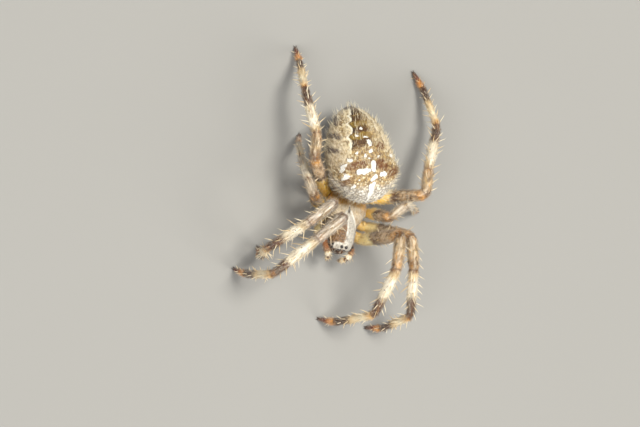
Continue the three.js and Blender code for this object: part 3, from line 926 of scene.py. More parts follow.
LEG_BANDS = [  # share of the upper leg from its root to the knee's far side, and colour
    (0.0, "8f6a38"),
    (0.2, "c9a257"),
    (0.3, "e6c46e"),
    (0.42, "f7e3a4"),
    (0.45, "75502a"),
    (0.485, "5c3f22"),
    (0.52, "a5845a"),
    (0.56, "b49672"),
    (0.61, "a07f58"),
    (0.65, "cf9444"),
    (0.675, "7a552c"),
    (0.72, "ab8a5e"),
    (0.83, "c8ab7e"),
    (0.93, "9c7548"),
    (0.98, "bf8a42"),
    (1.0, "84572f"),
]
FOOT_BANDS = [  # share of the lower leg from the start of the shin to the tip, and colour
    (0.0, "84572f"),
    (0.04, "e2c896"),
    (0.08, "fbf2dc"),
    (0.195, "f6e9ca"),
    (0.222, "603a20"),
    (0.31, "452917"),
    (0.335, "a2692f"),
    (0.355, "e0b571"),
    (0.42, "faedcb"),
    (0.53, "e8c68a"),
    (0.562, "54301a"),
    (0.645, "3f2212"),
    (0.675, "de9a44"),
    (0.79, "cc8236"),
    (0.85, "742c12"),
    (1.0, "401c0c"),
]


def leg_marks(wire):
    """A leg's rings: amber at the base, mottled brown, then cream shin and foot with dark ends."""
    place = wire.spot()
    along = wire.node("Attribute", {"attribute_name": "along"}, None, 2)
    lines = place.stretched(1.0, 1.0, 0.1).noise(6.0, 3.0, 0.6)
    mottle = place.stretched(1.0, 1.0, 0.6).noise(3.0, 4.0, 0.65)
    fine = place.stretched(1.0, 1.0, 0.4).noise(11.0, 3.0, 0.65)

    # The length along the limb also tells which limb it is: 20 mm more for each, the left legs first.
    which = place.axes()[2]
    right = which.rise(79.0, 79.5)
    front_right = right * which.rise(119.5, 118.5)
    palp = which.rise(158.0, 159.0)
    pair = which.math("MODULO", 80.0)
    rear = pair.rise(39.0, 39.5) * along.rise(1.7, 1.4)
    third = abs(pair - 49.0).rise(10.5, 9.5)

    stray = along + 0.24 * (place.noise(1.6, 3.0) - 0.5) + 0.2 * (fine - 0.5) + 0.2 * (lines - 0.5)
    stray = stray - 0.11 * rear
    bands = stray.rise(3.0, 3.02).paint((stray / 3.0).ramp(LEG_BANDS), ((stray - 3.0) / 3.0).ramp(FOOT_BANDS))
    amber = along.rise(0.6, 0.8) * stray.rise(1.34, 1.26)
    brownish = along.rise(1.25, 1.4) * along.rise(3.05, 2.95)
    blotches = mottle.rise(0.52, 0.62) * along.rise(1.2, 1.35)
    golden = mottle.rise(0.42, 0.34) * along.rise(1.6, 1.8) * along.rise(3.1, 2.8)
    dots = place.cells(2.2).rise(0.2, 0.12) * along.rise(1.3, 1.5) * along.rise(4.0, 3.9)
    pale_lines = lines.rise(0.5, 0.64) * (0.25 + 0.75 * along.rise(1.9, 2.1) * along.rise(3.1, 2.9))
    greyed = third * along.rise(2.0, 2.4) * along.rise(5.9, 5.2)
    grey = (lines * 0.6 + mottle * 0.5).rise(0.45, 0.62).paint("6a5342", "eadfc9")
    grizzled = front_right * along.rise(1.5, 1.8) * along.rise(3.3, 2.95)
    streaks = (lines * 0.7 + mottle * 0.4).rise(0.44, 0.64).paint("57463a", "f1eadc")
    joint = abs(along - along.math("ROUND")).rise(0.045, 0.012) * along.rise(1.5, 1.6) * along.rise(5.5, 5.4)
    colour = bands.painted(
        (amber * rear * 0.85, mottle.paint("f6b31c", "ffe56a")),
        (blotches * (0.2 + 0.4 * brownish), "452a16"),
        (mottle.rise(0.5, 0.42) * brownish * 0.45, "dcc7a6"),
        # painted shade: less gold on the right legs, for the weaker light on that side
        (golden * (0.7 - 0.55 * right), "d6963c"),
        (dots * 0.75, "3f2413"),
        (pale_lines * 0.6, "e6d5b8"),
        (lines.rise(0.44, 0.34) * along.rise(2.9, 3.2) * 0.5, "9a6c3a"),
        (fine.rise(0.54, 0.7) * 0.55, "f4ead0"),
        (fine.rise(0.42, 0.3) * 0.5, "4b2f18"),
        (greyed * 0.6, grey),
        (grizzled * 0.5, streaks),
        (joint * 0.65, "5b3619"),
        (palp * stray.rise(3.1, 2.7) * 0.8, mottle.rise(0.35, 0.6).paint("4d2413", "9a5a28")),
    )
    return colour, place, lines


def leg_look(wire):
    colour, place, lines = leg_marks(wire)
    height = lines * 0.5 + place.stretched(1.0, 1.0, 0.6).noise(9.0, 3.0) * 0.5
    return {
        "Base Color": colour,
        "Roughness": 0.5 - 0.15 * lines,
        "Normal": grain(wire, height, 0.00005),
    }


def membrane_look(wire):
    folds = wire.spot().stretched(1.0, 1.0, 2.5).noise(4.0, 4.0, 0.6)
    return {
        "Base Color": folds.rise(0.3, 0.7).paint("5a3a1f", "a87c45"),
        "Roughness": 0.45 + 0.2 * folds,
        "Normal": grain(wire, folds, 0.00006),
    }


def spinneret_look(wire):
    rounds = wire.spot().stretched(1.0, 1.0, 3.0).noise(5.0, 3.0)
    return {
        "Base Color": rounds.rise(0.35, 0.65).paint("4a3220", "8d6a45"),
        "Roughness": 0.55 + 0.2 * rounds,
        "Normal": grain(wire, rounds, 0.00005),
    }


def fitted(piece, slot, *nodes):
    """Fixes a piece to the one body and lets it stand for the nodes named. Its slot is not used."""
    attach(piece, "root")
    if nodes:
        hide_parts(*nodes)
    return piece


membrane = finish_with("soft body hide", membrane_look)
abdomen_hide = finish_with("abdomen hide", abdomen_look, Sheen_Weight=0.2, Sheen_Roughness=0.4)
leg_hide = finish_with("leg hide", leg_look, Sheen_Weight=0.3, Sheen_Roughness=0.4)
spinneret_hide = finish_with("spinneret hide", spinneret_look)
for material in (membrane, abdomen_hide, leg_hide, leg_hide, spinneret_hide):
    skin_mesh.materials.append(material)
skin_mesh.transform(Matrix.Scale(MM, 4))
skin_mesh.shade_smooth()
fleshy = ["abdomen", "pedicel", "spinnerets"]
for side_name in SIDES:
    fleshy.append(f"pedipalp_{side_name}")
    for number in (1, 2, 3, 4):
        for segment in ("coxa", "femur", "patella", "tibia", "foot"):
            fleshy.append(f"leg_{number}_{side_name}_{segment}")
skin = fitted(placed("spider_skin", skin_mesh), "abdomen", *fleshy)

# ----------------------------------------
# The shield over the front body: one hard plate, domed behind and narrow and raised at the head, with a pit
# in its middle and furrows that run out from it. Rounds of points are bridged, and the furrows pressed in.

SHIELD_PLAN = (  # half width and height above the rim, from the face back to the rear edge
    (0.78, 0.62),
    (1.0, 0.86),
    (1.04, 0.98),
    (1.14, 0.94),
    (1.5, 0.88),
    (1.76, 0.84),
    (1.7, 0.64),
    (1.3, 0.32),
    (0.5, 0.12),
)
SHIELD_FRONT = -2.7
SHIELD_LENGTH = 5.0
SHIELD_RIM = -0.1  # height of the rim
SHIELD_BELLY = 0.08  # how far the plate bulges below its rim
SHIELD_BOW = 0.06  # how far its closed ends bulge
PIT = 0.35  # how far behind the body's origin the pit lies
FURROWS = (18, 52, 88, 128)  # degrees from straight ahead, on either side of the pit
HEAD_MIDDLE = np.array([0, -2.0, 0.1])
EYES = {  # radius, and place on the left
    "front_middle": (0.14, (0.2, -2.68, 0.32)),
    "rear_middle": (0.13, (0.18, -2.52, 0.63)),
    "front_outer": (0.1, (0.76, -2.6, 0.2)),
    "rear_outer": (0.1, (0.83, -2.4, 0.38)),
}


def swept_plate(shape, rounds, segments):
    """A closed form through rounds, each a function from angles to places in the body's frame."""

    def loops():
        for places in rounds:
            made = bmesh.ops.create_circle(shape, segments=segments, radius=1)["verts"]
            angles = np.arctan2([v.co.y for v in made], [v.co.x for v in made])
            for vert, place in zip(made, places(angles)):
                vert.co = place
            yield list({edge for vert in made for edge in vert.link_edges})

    bridged(shape, loops())
    bmesh.ops.recalc_face_normals(shape, faces=shape.faces)


plan = curve_through(np.array(SHIELD_PLAN), 7)


def shield_round(k, inset=0.0):
    """A round across the plate, drawn in toward its middle and a little inward by a share of its size."""
    half, high = plan[k] * (1 - inset)
    bow = SHIELD_BOW if k == 0 else -SHIELD_BOW
    y = SHIELD_FRONT + SHIELD_LENGTH * k / (len(plan) - 1) + bow * inset

    def places(angles):
        up = np.sin(angles)
        z = SHIELD_RIM + np.where(up > 0, high, SHIELD_BELLY) * up
        return np.stack([half * np.cos(angles), np.full(len(angles), y), z], 1)

    return places


def outside_neck(ax, y):
    """How far outside the furrow beside the head a place lies, in millimetres. It takes wires too."""
    return ax - 0.335 + 0.62 * y


last = len(plan) - 1
rounds = [shield_round(0, inset) for inset in (0.9, 0.7, 0.45, 0.2)]
rounds += [shield_round(k) for k in range(len(plan))]
rounds += [shield_round(last, inset) for inset in (0.4, 0.8)]
shield_shape = bmesh.new()
swept_plate(shield_shape, rounds, 84)

# The pit, the neck and the furrows are pressed into its top, and each eye has a mound.
place = np.array([vert.co for vert in shield_shape.verts])
x, y, z = place.T
ax = np.abs(x)
press = 0.16 * dip(ax, 0.09) * dip(y - PIT, 0.3)
neck = dip(outside_neck(ax, y), 0.1) * step(0.5, 0.0, y) * step(-1.5, -1.0, y) * step(1.5, 0.9, ax)
press += 0.09 * neck
for furrow in FURROWS:
    way = radians(furrow)
    run = ax * sin(way) - (y - PIT) * cos(way)
    across = ax * cos(way) + (y - PIT) * sin(way)
    press += 0.045 * dip(across, 0.1) * step(0.25, 0.5, run) * step(1.7, 1.1, run)
press -= 0.05 * dip(ax, 0.5) * dip(y + 1.3, 0.7)
press *= step(-0.02, 0.25, z - SHIELD_RIM)
mounds = np.zeros_like(place)
for radius, at in EYES.values():
    for side in SIDES.values():
        eye = np.array(at) * (side, 1, 1)
        near = np.linalg.norm(place - eye, axis=1) - radius
        mounds += 0.5 * radius * dip(near, 0.1)[:, None] * unit(eye - HEAD_MIDDLE)
place += mounds
place[:, 2] -= press
place *= (0.985, 0.992, 0.985)  # a little inside, to leave the depth of the coat
for vert, at in zip(shield_shape.verts, place):
    vert.co = at
bmesh.ops.smooth_vert(
    shield_shape, verts=shield_shape.verts, factor=0.4, use_axis_x=True, use_axis_y=True, use_axis_z=True
)


def shield_marks(wire):
    """The shield's colours: a grey head between two pale seams, a hairless amber-brown patch on its right
    cheek and low on its left, darkened with painted shade (on the right cheek, the painted shadow of the
    right first leg), a tan wedge on each side and amber behind."""
    place = wire.spot()
    x, y, z = place.axes()
    fine = place.noise(9.0, 3.0, 0.6)
    stray = place.noise(2.2, 3.0) - 0.5
    across = abs(x) + 0.12 * stray
    neck = outside_neck(across, y)
    rays = (abs(x).math("ARCTAN2", y - PIT) * 9.0 + 2.0 * stray).math("SINE").rise(0.2, 0.9)
    head = neck.rise(0.08, -0.08) * y.rise(0.25, -0.1)
    grey = fine.rise(0.34, 0.62).paint("a39c8c", "ece7da")
    # The hairless amber-brown patches, darkened with painted shade: on the right cheek it is the painted
    # shadow of the right first leg.
    bare_shaded = most((x + 0.7 * stray).rise(0.16, -0.16), (x + 0.4 * stray).rise(0.72, 0.86))
    bare_shaded = bare_shaded * (y + 0.4 * stray).rise(-0.5, -0.8) * (y - 0.4 * stray).rise(-2.32, -2.12)
    shaded_bare_hide = (fine * 0.6 + place.cells(7.0) * 0.6).rise(0.3, 0.75).paint("331d08", "80561c")
    seam = abs(neck).rise(0.13, 0.05) * y.rise(0.5, 0.2) * y.rise(-1.9, -1.3)
    middle = abs(x).rise(0.1, 0.03) * y.rise(-1.9, -1.4)
    rim = (across - 1.5).rise(0.0, 0.16) * z.rise(-0.06, 0.04) * y.rise(-1.6, -0.6)
    rear_edge = (y + 0.18 * abs(x) + 0.3 * stray).rise(0.7, 0.95)
    colour = fine.rise(0.35, 0.65).paint("b8a07a", "e3d2b0").painted(
        (rays * 0.35 * across.rise(0.3, 0.7), "94713f"),
        (place.noise(4.0, 2.0).rise(0.5, 0.65) * 0.5, "dfd2bb"),
        (head * 0.9, grey.painted((place.cells(4.0).rise(0.36, 0.12) * 0.45, "5d4e3c"))),
        # painted shade: the dark hairless patches on the cheeks
        (bare_shaded * 0.93, shaded_bare_hide),
        (most(seam, middle * 0.7, rim) * 0.95, "fbf7ea"),
        (oval(x, y - PIT, (0.12, 0.32)).rise(1.2, 0.3) * 0.9, "2c1c10"),
        (rear_edge * 0.9, fine.paint("b87d22", "e9bb5c")),
        (y.rise(-2.3, -2.6) * 0.3, "8a6d4a"),
        (z.rise(0.04, -0.1) * 0.8, "4b3422"),
    )
    return colour, place, fine


def shield_look(wire):
    colour, place, fine = shield_marks(wire)
    return {
        "Base Color": colour,
        "Roughness": 0.42 + 0.2 * fine,
        "Normal": grain(wire, fine * 0.6 + place.cells(12.0).rise(0.0, 0.5) * 0.4, 0.00004),
    }


def laid_flat(piece):
    """A plate's own layout, cut where it turns sharply."""
    bpy.ops.object.select_all(action="DESELECT")
    piece.select_set(True)
    bpy.context.view_layer.objects.active = piece
    piece.data.uv_layers.new(name="OFBake")
    bpy.ops.object.mode_set(mode="EDIT")
    bpy.ops.mesh.select_all(action="SELECT")
    bpy.ops.uv.smart_project(angle_limit=1.15, island_margin=0.01, scale_to_bounds=True)
    bpy.ops.object.mode_set(mode="OBJECT")


def plated(name, shape, material, lie):
    """A hard plate on the front body. Its points keep their places on it, and its hair leans as given."""
    spot = np.array([vert.co for vert in shape.verts])
    bmesh.ops.transform(shape, verts=shape.verts, matrix=FRONT_BODY)
    plate = build(name, shape, material)
    note(plate.data, spot=spot, along=0.0, lie=turned(FRONT_BODY, lie))
    laid_flat(plate)
    return plate


shield = plated("shield", shield_shape, finish_with("shield plate", shield_look), (0, -1, 0))
fitted(shield, "shield", "carapace")

# ----------------------------------------
# The breastplate: a heart-shaped hard plate between the roots of the legs, dark with a pale streak. Rounds
# of its outline are bridged, from flat above to a rounded edge and a nearly level face below.

HEART = (  # its left edge, from the front tip to the rear one
    (0.0, -1.36),
    (0.42, -1.32),
    (0.72, -1.15),
    (0.83, -0.7),
    (0.8, -0.25),
    (0.66, 0.3),
    (0.4, 0.95),
    (0.0, 1.6),
)
HEART_LEVELS = (  # share of the outline, and height
    (0.97, -0.3),
    (1.0, -0.6),
    (1.0, -0.92),
    (0.985, -1.0),
    (0.94, -1.05),
    (0.82, -1.08),
    (0.6, -1.095),
    (0.3, -1.1),
    (0.08, -1.1),
)
HEART_MIDDLE = 0.1  # where each round is drawn in to
heart = curve_through(np.array(HEART), 8)


def heart_round(inset, height):
    """A round of the breastplate's outline, drawn in by a share and laid at its own height."""

    def places(angles):
        behind = np.abs((np.degrees(angles) + 270) % 360 - 180) / 180  # 0 at the front tip, 1 at the rear one
        x, y = [np.interp(behind, np.linspace(0, 1, len(heart)), edge) for edge in heart.T]
        side = np.where(np.cos(angles) >= 0, 1, -1)
        y = (y - HEART_MIDDLE) * inset + HEART_MIDDLE
        return np.stack([side * x * inset, y, np.full(len(x), height)], 1)

    return places


def sternum_look(wire):
    place = wire.spot()
    x, y, _ = place.axes()
    fine = place.noise(8.0, 3.0, 0.6)
    streak = (abs(x) + 0.1 * (place.noise(3.0) - 0.5)).rise(0.2, 0.08) * y.rise(-1.2, -1.0) * y.rise(1.2, 0.7)
    return {
        "Base Color": fine.rise(0.35, 0.65).paint("2b1c13", "553923").painted((streak * 0.9, "c9a457")),
        "Roughness": 0.38 + 0.2 * fine,
        "Normal": grain(wire, fine, 0.00005),
    }


sternum_shape = bmesh.new()
swept_plate(sternum_shape, [heart_round(*level) for level in HEART_LEVELS], 72)
sternum = plated("breastplate", sternum_shape, finish_with("breastplate", sternum_look), (0, 1, 0))
fitted(sternum, "underside", "sternum")

# ----------------------------------------
# The eyes: eight dark, glassy beads, four in a square on the face and a touching pair at each corner of the
# head. Each sits to half its depth in its own low mound of the shield.


def eye_look(wire):
    cloud = wire.place().noise(9000.0)
    return {
        "Base Color": cloud.paint("0b0706", "24140c"),
        "Roughness": 0.05 + 0.05 * cloud,
    }


EYE_OUT = 0.035  # millimetres that a bead stands out from the middle of its mound
eye_glass = finish_with("eye", eye_look, Coat_Weight=1.0, Coat_Roughness=0.03, IOR=1.5)
for name, (radius, at) in EYES.items():
    centre = np.array(at) + EYE_OUT * unit(np.array(at) - HEAD_MIDDLE)
    for side_name, side in SIDES.items():
        bead_shape = bmesh.new()
        blown(bead_shape, FRONT_BODY, (0.97 * radius,) * 3, centre * (side, 1, 1))
        bead = build(f"eyeball_{name}_{side_name}", bead_shape, eye_glass)
        fitted(bead, "eye", f"eye_{name}_{side_name}")

# ----------------------------------------
# The jaws: two stout, hard, hanging lobes, brown and glossy, with a hinged fang folded in under each. Between
# them and the breastplate lie the lip and the two rounded mouth plates. Lobes and fangs are swept.

JAW = ((0.44, -2.2, 0.2), (0.46, -2.52, -0.6), (0.44, -2.66, -1.3))
JAW_RADII = (0.3, 0.36, 0.39, 0.37, 0.3)
FANG = ((0.47, -2.68, -1.36), (0.49, -2.7, -1.66), (0.37, -2.5, -1.82), (0.2, -2.15, -1.78))
FANG_RADII = (0.15, 0.14, 0.1, 0.06, 0.02)
MOUTH_PLATE = ((0.3, 0.4, 0.2), (0.33, -1.75, -1.0))  # half sizes and place of the left one
MOUTH_PLATE_TURN = 18  # degrees that its front points outward
LIP = ((0.27, 0.2, 0.14), (0, -1.45, -1.02))


def jaw_look(wire):
    fine = wire.place().noise(5200.0, 3.0, 0.6)
    wide = wire.place().noise(1300.0, 3.0)
    colour = wide.rise(0.35, 0.65).paint("331a0c", "6e4420")
    return {
        "Base Color": colour.painted((fine.rise(0.5, 0.7) * 0.4, "a06c34")),
        "Roughness": 0.28 + 0.2 * fine,
        "Normal": grain(wire, fine, 0.00003),
    }


def fang_look(wire):
    wide = wire.place().noise(2500.0)
    return {
        "Base Color": wide.rise(0.3, 0.7).paint("1c0806", "4a1a0e"),
        "Roughness": 0.16 + 0.08 * wide,
    }


def tapered(shape, places, radii, segments, per_span=PER_SPAN):
    """A closed horn or lobe swept through given places, with radii at even steps along it."""

    def radius_at(mark, arc, joint_arcs):
        return np.interp(arc / arc[-1] * (len(radii) - 1), range(len(radii)), radii)

    marks = [per_span * k for k in range(len(places))]
    line = limb_line(curve_through(places, per_span), marks, radius_at)
    sweep(shape, line, range(len(line.at)), segments)
    bmesh.ops.recalc_face_normals(shape, faces=shape.faces)


jaw_hide = finish_with("jaw", jaw_look)
fang_horn = finish_with("fang", fang_look, Coat_Weight=0.5)
down = turned(FRONT_BODY, (0, -0.15, -1))
jaws = {}
for side_name, side in SIDES.items():
    jaw_shape = bmesh.new()
    tapered(jaw_shape, on_front(JAW, side), JAW_RADII, 32)
    jaw = fitted(build(f"jaw_{side_name}", jaw_shape, jaw_hide), "jaw", f"chelicera_{side_name}")
    note(jaw.data, spot=(0, 0, 0), along=0.0, lie=down)
    laid_flat(jaw)
    jaws[side_name] = jaw
    fang_shape = bmesh.new()
    tapered(fang_shape, on_front(FANG, side), FANG_RADII, 20)
    fitted(build(f"claw_of_jaw_{side_name}", fang_shape, fang_horn), "fang", f"fang_{side_name}")
    plate_shape = bmesh.new()
    size, at = np.array(MOUTH_PLATE)
    blown(plate_shape, FRONT_BODY, size, at * (side, 1, 1), 24, 16, turn=side * MOUTH_PLATE_TURN)
    fitted(build(f"mouth_plate_{side_name}", plate_shape, jaw_hide), "jaw")
lip_shape = bmesh.new()
blown(lip_shape, FRONT_BODY, *LIP, 24, 16)
fitted(build("lip", lip_shape, jaw_hide), "jaw")

# ----------------------------------------
# The tongue-shaped plate (epigyne) under the front of the abdomen: a hard, wrinkled, dark red-brown hook. It
# is two short cones, the stout root and the thinner tongue that points back from it.

EPIGYNE = (  # the two ends and the radii of its root and of its tongue
    ((0, -2.55, -1.0), (0, -2.1, -1.75), (0.42, 0.36, 0.24, 0.16)),
    ((0, -2.15, -1.66), (0, -1.55, -1.98), (0.14, 0.12, 0.1, 0.07)),
)
epigyne_shape = bmesh.new()
for start, end, radii in EPIGYNE:
    cone(epigyne_shape, REAR_BODY, start, end, radii)
bmesh.ops.recalc_face_normals(epigyne_shape, faces=epigyne_shape.faces)
fitted(build("epigyne", epigyne_shape, jaw_hide), "jaw")

# ----------------------------------------
# The claws: each foot ends in two curved, dark claws and a short middle one, hooked down to the floor. Each
# is a thin horn swept from inside the foot's tip, over a low bow, to just above the floor.

CLAWS = ((-0.05, 0.26), (0.05, 0.26), (0.0, 0.16))  # millimetres beside the foot's middle, and ahead of it
CLAW_RADII = (0.035, 0.006)
CLAW_ROOT = 0.05  # into the rounded end of the foot
CLAW_BOW = 0.06
CLAW_SPLAY = 2.2  # how many times further apart the tips are than the roots
CLAW_CLEAR = 0.012  # from the floor to the middle of a claw's tip


def claw_look(wire):
    wide = wire.place().noise(4000.0)
    return {
        "Base Color": wide.paint("2a120b", "4c2413"),
        "Roughness": 0.25 + 0.1 * wide,
    }


claws_shape = bmesh.new()
for limb in limbs:
    if limb.kind == "palp":
        continue
    tip, way = limb.at[-1], limb.way[-1]
    level = unit(way * (1, 1, 0))
    beside = np.cross((0, 0, 1), level)
    for spread, reach in CLAWS:
        start = tip + way * CLAW_ROOT + beside * spread
        end = tip + level * reach + beside * spread * CLAW_SPLAY
        end[2] = CLAW_CLEAR
        bow = np.array([start, (start + end) / 2 + (0, 0, CLAW_BOW), end])
        tapered(claws_shape, bow, CLAW_RADII, 8, per_span=6)
fitted(build("claws", claws_shape, finish_with("claw", claw_look)), "fang")

# ----------------------------------------
# The coat: fine pale hairs in small tufts over the hide and shield, leaning the way the coat lies, and long
# stiff spines on the legs and palps. Each tuft is a few tapering hairs, rooted in the surface under it.

SUNK = 0.02  # millimetres that a hair's root lies under the surface
SPECK = 0.0024  # share of the flat layout that a hair covers


def rooted(piece, density, seed):
    """Seeded places on a piece: density gives hairs to the square millimetre from each triangle's middle."""
    mesh = piece.data
    mesh.calc_loop_triangles()
    triangles = mesh.loop_triangles
    corners = read(triangles, "vertices", 3, np.int32)
    values = {
        "normal": read(mesh.vertices, "normal", 3),
        "at": read(mesh.vertices, "co", 3) * 1000,
        "spot": read(mesh.attributes["spot"].data, "vector", 3),
        "lie": read(mesh.attributes["lie"].data, "vector", 3),
        "along": read(mesh.attributes["along"].data, "value")[:, None],
    }
    middle = {name: value[corners].mean(1) for name, value in values.items()}
    middle["along"] = middle["along"][:, 0]
    area = read(triangles, "area").astype(float) * 1e6  # square millimetres
    weight = area * density(SimpleNamespace(**middle))
    chance = np.random.default_rng(seed)
    chosen = chance.choice(len(weight), int(weight.sum()), p=weight / weight.sum())
    share = chance.dirichlet((1, 1, 1), len(chosen))[:, :, None]
    roots = {name: (value[corners[chosen]] * share).sum(1) for name, value in values.items()}
    roots["along"] = roots["along"][:, 0]
    flat = read(mesh.uv_layers["OFBake"].uv, "vector", 2)
    roots["flat"] = (flat[read(triangles, "loops", 3, np.int32)[chosen]] * share).sum(1)
    return SimpleNamespace(**roots), chance


def grow(
    name, slot, material, roots, chance, length, width, lift, fan, droop=0.12, strands=2, sides=3, levels=2
):
    """Tufts on their roots, as one mesh. Lengths and widths are millimetres, lift and fan are degrees."""
    total = len(roots.at) * strands

    def each(value):
        return np.repeat(np.broadcast_to(value, (len(roots.at), *np.shape(value)[1:])), strands, axis=0)

    normal = unit(roots.normal.astype(float))
    lie = unit(roots.lie - normal * (roots.lie * normal).sum(1, keepdims=True) + 1e-6)
    over = each(np.cross(normal, lie))
    lie, normal = each(lie), each(normal)
    turn = np.radians(chance.normal(0, fan, total))[:, None]
    up = np.radians(each(lift) + chance.normal(0, 7, total))[:, None]
    way = np.cos(up) * (np.cos(turn) * lie + np.sin(turn) * over) + np.sin(up) * normal
    long = (each(length) * chance.uniform(0.65, 1.15, total))[:, None]
    thick = each(width) * chance.uniform(0.8, 1.2, total)
    flat = each(roots.flat) + chance.uniform(-SPECK / 4, SPECK / 4, (total, 2))
    root = each(roots.at) - normal * SUNK
    beside = unit(np.cross(way, normal) + 1e-6)
    above = np.cross(beside, way)

    # Each hair is a few rounds of points and a tip. In the flat layout it covers a speck round its root.
    points = []
    flats = []
    for level in range(levels):
        share = level / levels
        middle = root + long * (share * way - droop * share**2 * normal)
        wide = (thick * (1 - share) ** 0.7 * 0.5)[:, None]
        for k in range(sides):
            angle = 2 * pi * k / sides
            points.append(middle + wide * (cos(angle) * beside + sin(angle) * above))
            flats.append(flat + np.array([(k / sides - 0.4) * SPECK, (share - 0.5) * SPECK]))
    points.append(root + long * (way - droop * normal))
    flats.append(flat + np.array([0.0, SPECK / 2]))
    per = len(points)
    points = np.stack(points, 1).reshape(-1, 3)
    points[:, 2] = np.maximum(points[:, 2], 0.001)
    flats = np.stack(flats, 1).reshape(-1, 2)

    walls = []
    for level in range(levels):
        for k in range(sides):
            a, b = level * sides + k, level * sides + (k + 1) % sides
            walls.append((a, b, per - 1) if level == levels - 1 else (a, b, b + sides, a + sides))
    faces = [*walls, tuple(range(sides - 1, -1, -1))]
    pattern = np.concatenate(faces)
    corners = (np.arange(total)[:, None] * per + pattern).ravel().astype(np.int32)
    lengths = np.tile([len(face) for face in faces], total)
    starts = np.r_[0, np.cumsum(lengths)[:-1]].astype(np.int32)
    mesh = bpy.data.meshes.new(name)
    mesh.vertices.add(len(points))
    mesh.vertices.foreach_set("co", (points * MM).astype(np.float32).ravel())
    mesh.loops.add(len(corners))
    mesh.loops.foreach_set("vertex_index", corners)
    mesh.polygons.add(len(starts))
    mesh.polygons.foreach_set("loop_start", starts)
    mesh.update(calc_edges=True)
    mesh.shade_smooth()
    mesh.uv_layers.new(name="OFBake").uv.foreach_set("vector", flats[corners].astype(np.float32).ravel())
    note(mesh, spot=np.repeat(each(roots.spot), per, axis=0), along=np.repeat(each(roots.along), per))
    mesh.materials.append(material)
    fitted(placed(name, mesh), slot)


def coat_look(marks, share, pale):
    """Hair with the markings of the surface under it, a share of the way to a paler colour."""

    def look(wire):
        colour, place, _ = marks(wire)
        paler = {0: share, 6: colour, 7: pale}
        return {
            "Base Color": wire.node("Mix", {"data_type": "RGBA"}, paler, 2),
            "Roughness": place.noise(6.0) * 0.2 + 0.35,
        }

    return look


def spine_look(wire):
    pale = wire.spot().noise(3.0)
    return {
        "Base Color": pale.rise(0.3, 0.7).paint("cfb07c", "f6e8c8"),
        "Roughness": 0.3 + 0.1 * pale,
    }


abdomen_coat = finish_with("abdomen coat", coat_look(abdomen_marks, 0.1, "f3e6c4"))
abdomen_bristle = finish_with("abdomen bristles", coat_look(abdomen_marks, 0.8, "f3e6c4"))
leg_coat_look = coat_look(leg_marks, 0.17, "f6ead0")
leg_coat = finish_with("leg coat", leg_coat_look, Sheen_Weight=0.3, Sheen_Roughness=0.4)
shield_coat = finish_with("shield coat", coat_look(shield_marks, 0.4, "f4f1ea"))
spine_horn = finish_with("spine", spine_look)
abdomen_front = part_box("abdomen")[0][1] * 1000  # millimetres


def on_abdomen(m):
    """1 on the abdomen's back and flanks, less on its belly, and 0 off it."""
    out = np.linalg.norm(m.spot / ABDOMEN_HALVES, axis=1)
    on_it = (m.along < 0.01) & (m.at[:, 1] > abdomen_front) & (out > 0.6)
    return on_it * np.where(m.spot[:, 2] > -0.8, 1.0, 0.6)


roots, chance = rooted(skin, lambda m: 40 * on_abdomen(m), seed=3)
lift = 38 + 14 * chance.random(len(roots.at))
long = 0.11 + 0.13 * chance.random(len(roots.at)) + 0.14 * step(1.2, 2.4, np.abs(roots.spot[:, 0]))
long *= 1 - 0.4 * step(1.8, 3.4, roots.spot[:, 1])
grow("coat_abdomen", "abdomen", abdomen_coat, roots, chance, long, width=0.02, lift=lift, fan=13)
roots, chance = rooted(skin, lambda m: 8 * on_abdomen(m), seed=5)
lift = 44 + 20 * chance.random(len(roots.at))
long = 0.42 + 0.3 * chance.random(len(roots.at)) + 0.1 * step(-1.0, 3.5, roots.spot[:, 1])
stiff = {"width": 0.034, "lift": lift, "fan": 14, "droop": 0.1, "strands": 1, "sides": 4, "levels": 3}
grow("bristles_abdomen", "abdomen", abdomen_bristle, roots, chance, long, **stiff)

for k, limb in enumerate(limbs):

    def mine(m):
        owner = (m.spot[:, 2] // ON_LIMB).round().astype(int)
        return (m.along > 0.6) * (owner == k) * np.where(m.along > 4.9, 130.0, 92.0)

    roots, chance = rooted(skin, mine, seed=11 + k)
    long = (0.22 + 0.2 * chance.random(len(roots.at))) * (1 - 0.45 * step(5.0, 6.0, roots.along))
    if limb.kind == "palp":
        long *= 0.8
    grow(f"coat_{limb.name}", "leg", leg_coat, roots, chance, long, width=0.018, lift=38, fan=14)


def on_shield(m):
    """Hairs to the square millimetre: fewer on the wedges, few on the hairless right cheek under its painted
    shade, none round the eyes.
    """
    x, y, z = m.spot.T
    ax = np.abs(x)
    wedge = step(0.0, 0.2, outside_neck(ax, y)) * step(1.55, 1.4, ax) * step(1.3, 1.1, y)
    clear = np.ones(len(ax))
    for radius, at in EYES.values():
        clear *= np.linalg.norm(np.stack([ax, y, z], 1) - at, axis=1) > radius * 1.35
    bare_shaded = (x < 0.05) & (y < -0.65) & (y > -2.2)
    return (z > -0.08) * clear * (260 - 130 * wedge) * np.where(bare_shaded, 0.16, 1.0)


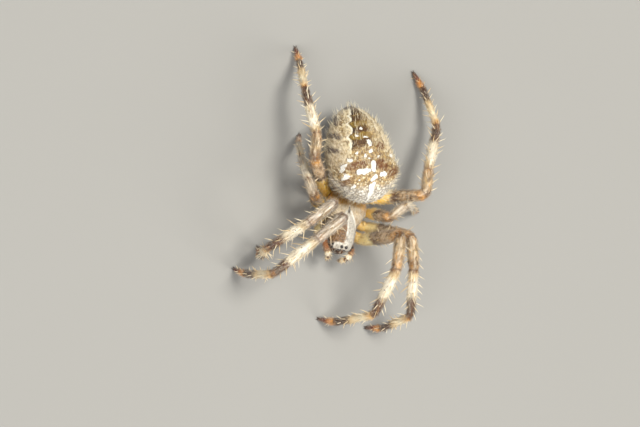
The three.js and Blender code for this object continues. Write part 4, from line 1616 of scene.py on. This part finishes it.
roots, chance = rooted(shield, on_shield, seed=21)
long = (0.2 + 0.16 * chance.random(len(roots.at))) * (1 - 0.45 * step(-1.8, -2.6, roots.spot[:, 1]))
grow("coat_shield", "shield", shield_coat, roots, chance, long, width=0.02, lift=14, fan=16, droop=0.05)
for side_name, jaw in jaws.items():
    roots, chance = rooted(jaw, lambda m: np.full(len(m.at), 46.0), seed=24)
    roots.along = np.full(len(roots.at), 3.3)  # as pale as the hair of a shin
    long = 0.16 + 0.14 * chance.random(len(roots.at))
    hair = f"coat_jaw_{side_name}"
    grow(hair, "jaw", leg_coat, roots, chance, long, width=0.018, lift=24, fan=12, droop=0.08)

# The spines stand in loose whorls on the legs, more and longer on the shin and foot than on the thigh. Each
# row says where they begin and end, counted in joints along the limb, and how many a full-sized leg has.
SPINES = ((1.15, 1.9, 15), (2.15, 2.9, 11), (3.08, 3.92, 24), (4.05, 4.9, 22), (5.1, 5.8, 7))
SPINE_LENGTHS = (0.62, 0.78, 0.95, 0.85, 0.5, 0.35)  # at the first to the sixth joint
SPINE_WIDTH = 0.084
for side_name, side in SIDES.items():
    chance = np.random.default_rng(31 + side)
    rows = []
    for k, limb in enumerate(limbs):
        if limb.side != side:
            continue
        for low, high, full in SPINES:
            many = full if limb.spine_size == 1 else full // 2
            for i in range(many):
                mark = low + (high - low) * (i + chance.uniform(0.1, 0.9)) / many
                if mark > limb.mark[-1] - 0.1:
                    continue
                row = int(np.interp(mark, limb.mark, np.arange(len(limb.mark))))
                angle = (i % 4) * pi / 2 + pi / 4 + chance.normal(0, 0.35)
                out = cos(angle) * limb.over[row] + sin(angle) * limb.beside[row]
                wide = limb.radius[row]
                wrapped = (angle + pi) % (2 * pi) - pi
                middle, root = limb.strip
                spine = {
                    "at": limb.at[row] + out * wide,
                    "normal": out,
                    "lie": limb.way[row],
                    "spot": (sin(angle) * wide, cos(angle) * wide, limb.arc[row] + ON_LIMB * k),
                    "along": mark,
                    "flat": np.array([middle + 0.5 * wrapped, root + limb.arc[row]]) / SHEET,
                    "size": limb.spine_size,
                }
                rows.append(spine)
    roots = SimpleNamespace(**{name: np.array([spine[name] for spine in rows]) for name in rows[0]})
    long = roots.size * np.interp(roots.along, range(1, 7), SPINE_LENGTHS)
    wide = roots.size * SPINE_WIDTH
    stout = {"width": wide, "lift": 58, "fan": 9, "strands": 1, "sides": 5, "levels": 4}
    grow(f"spines_{side_name}", "leg", spine_horn, roots, chance, long, **stout)
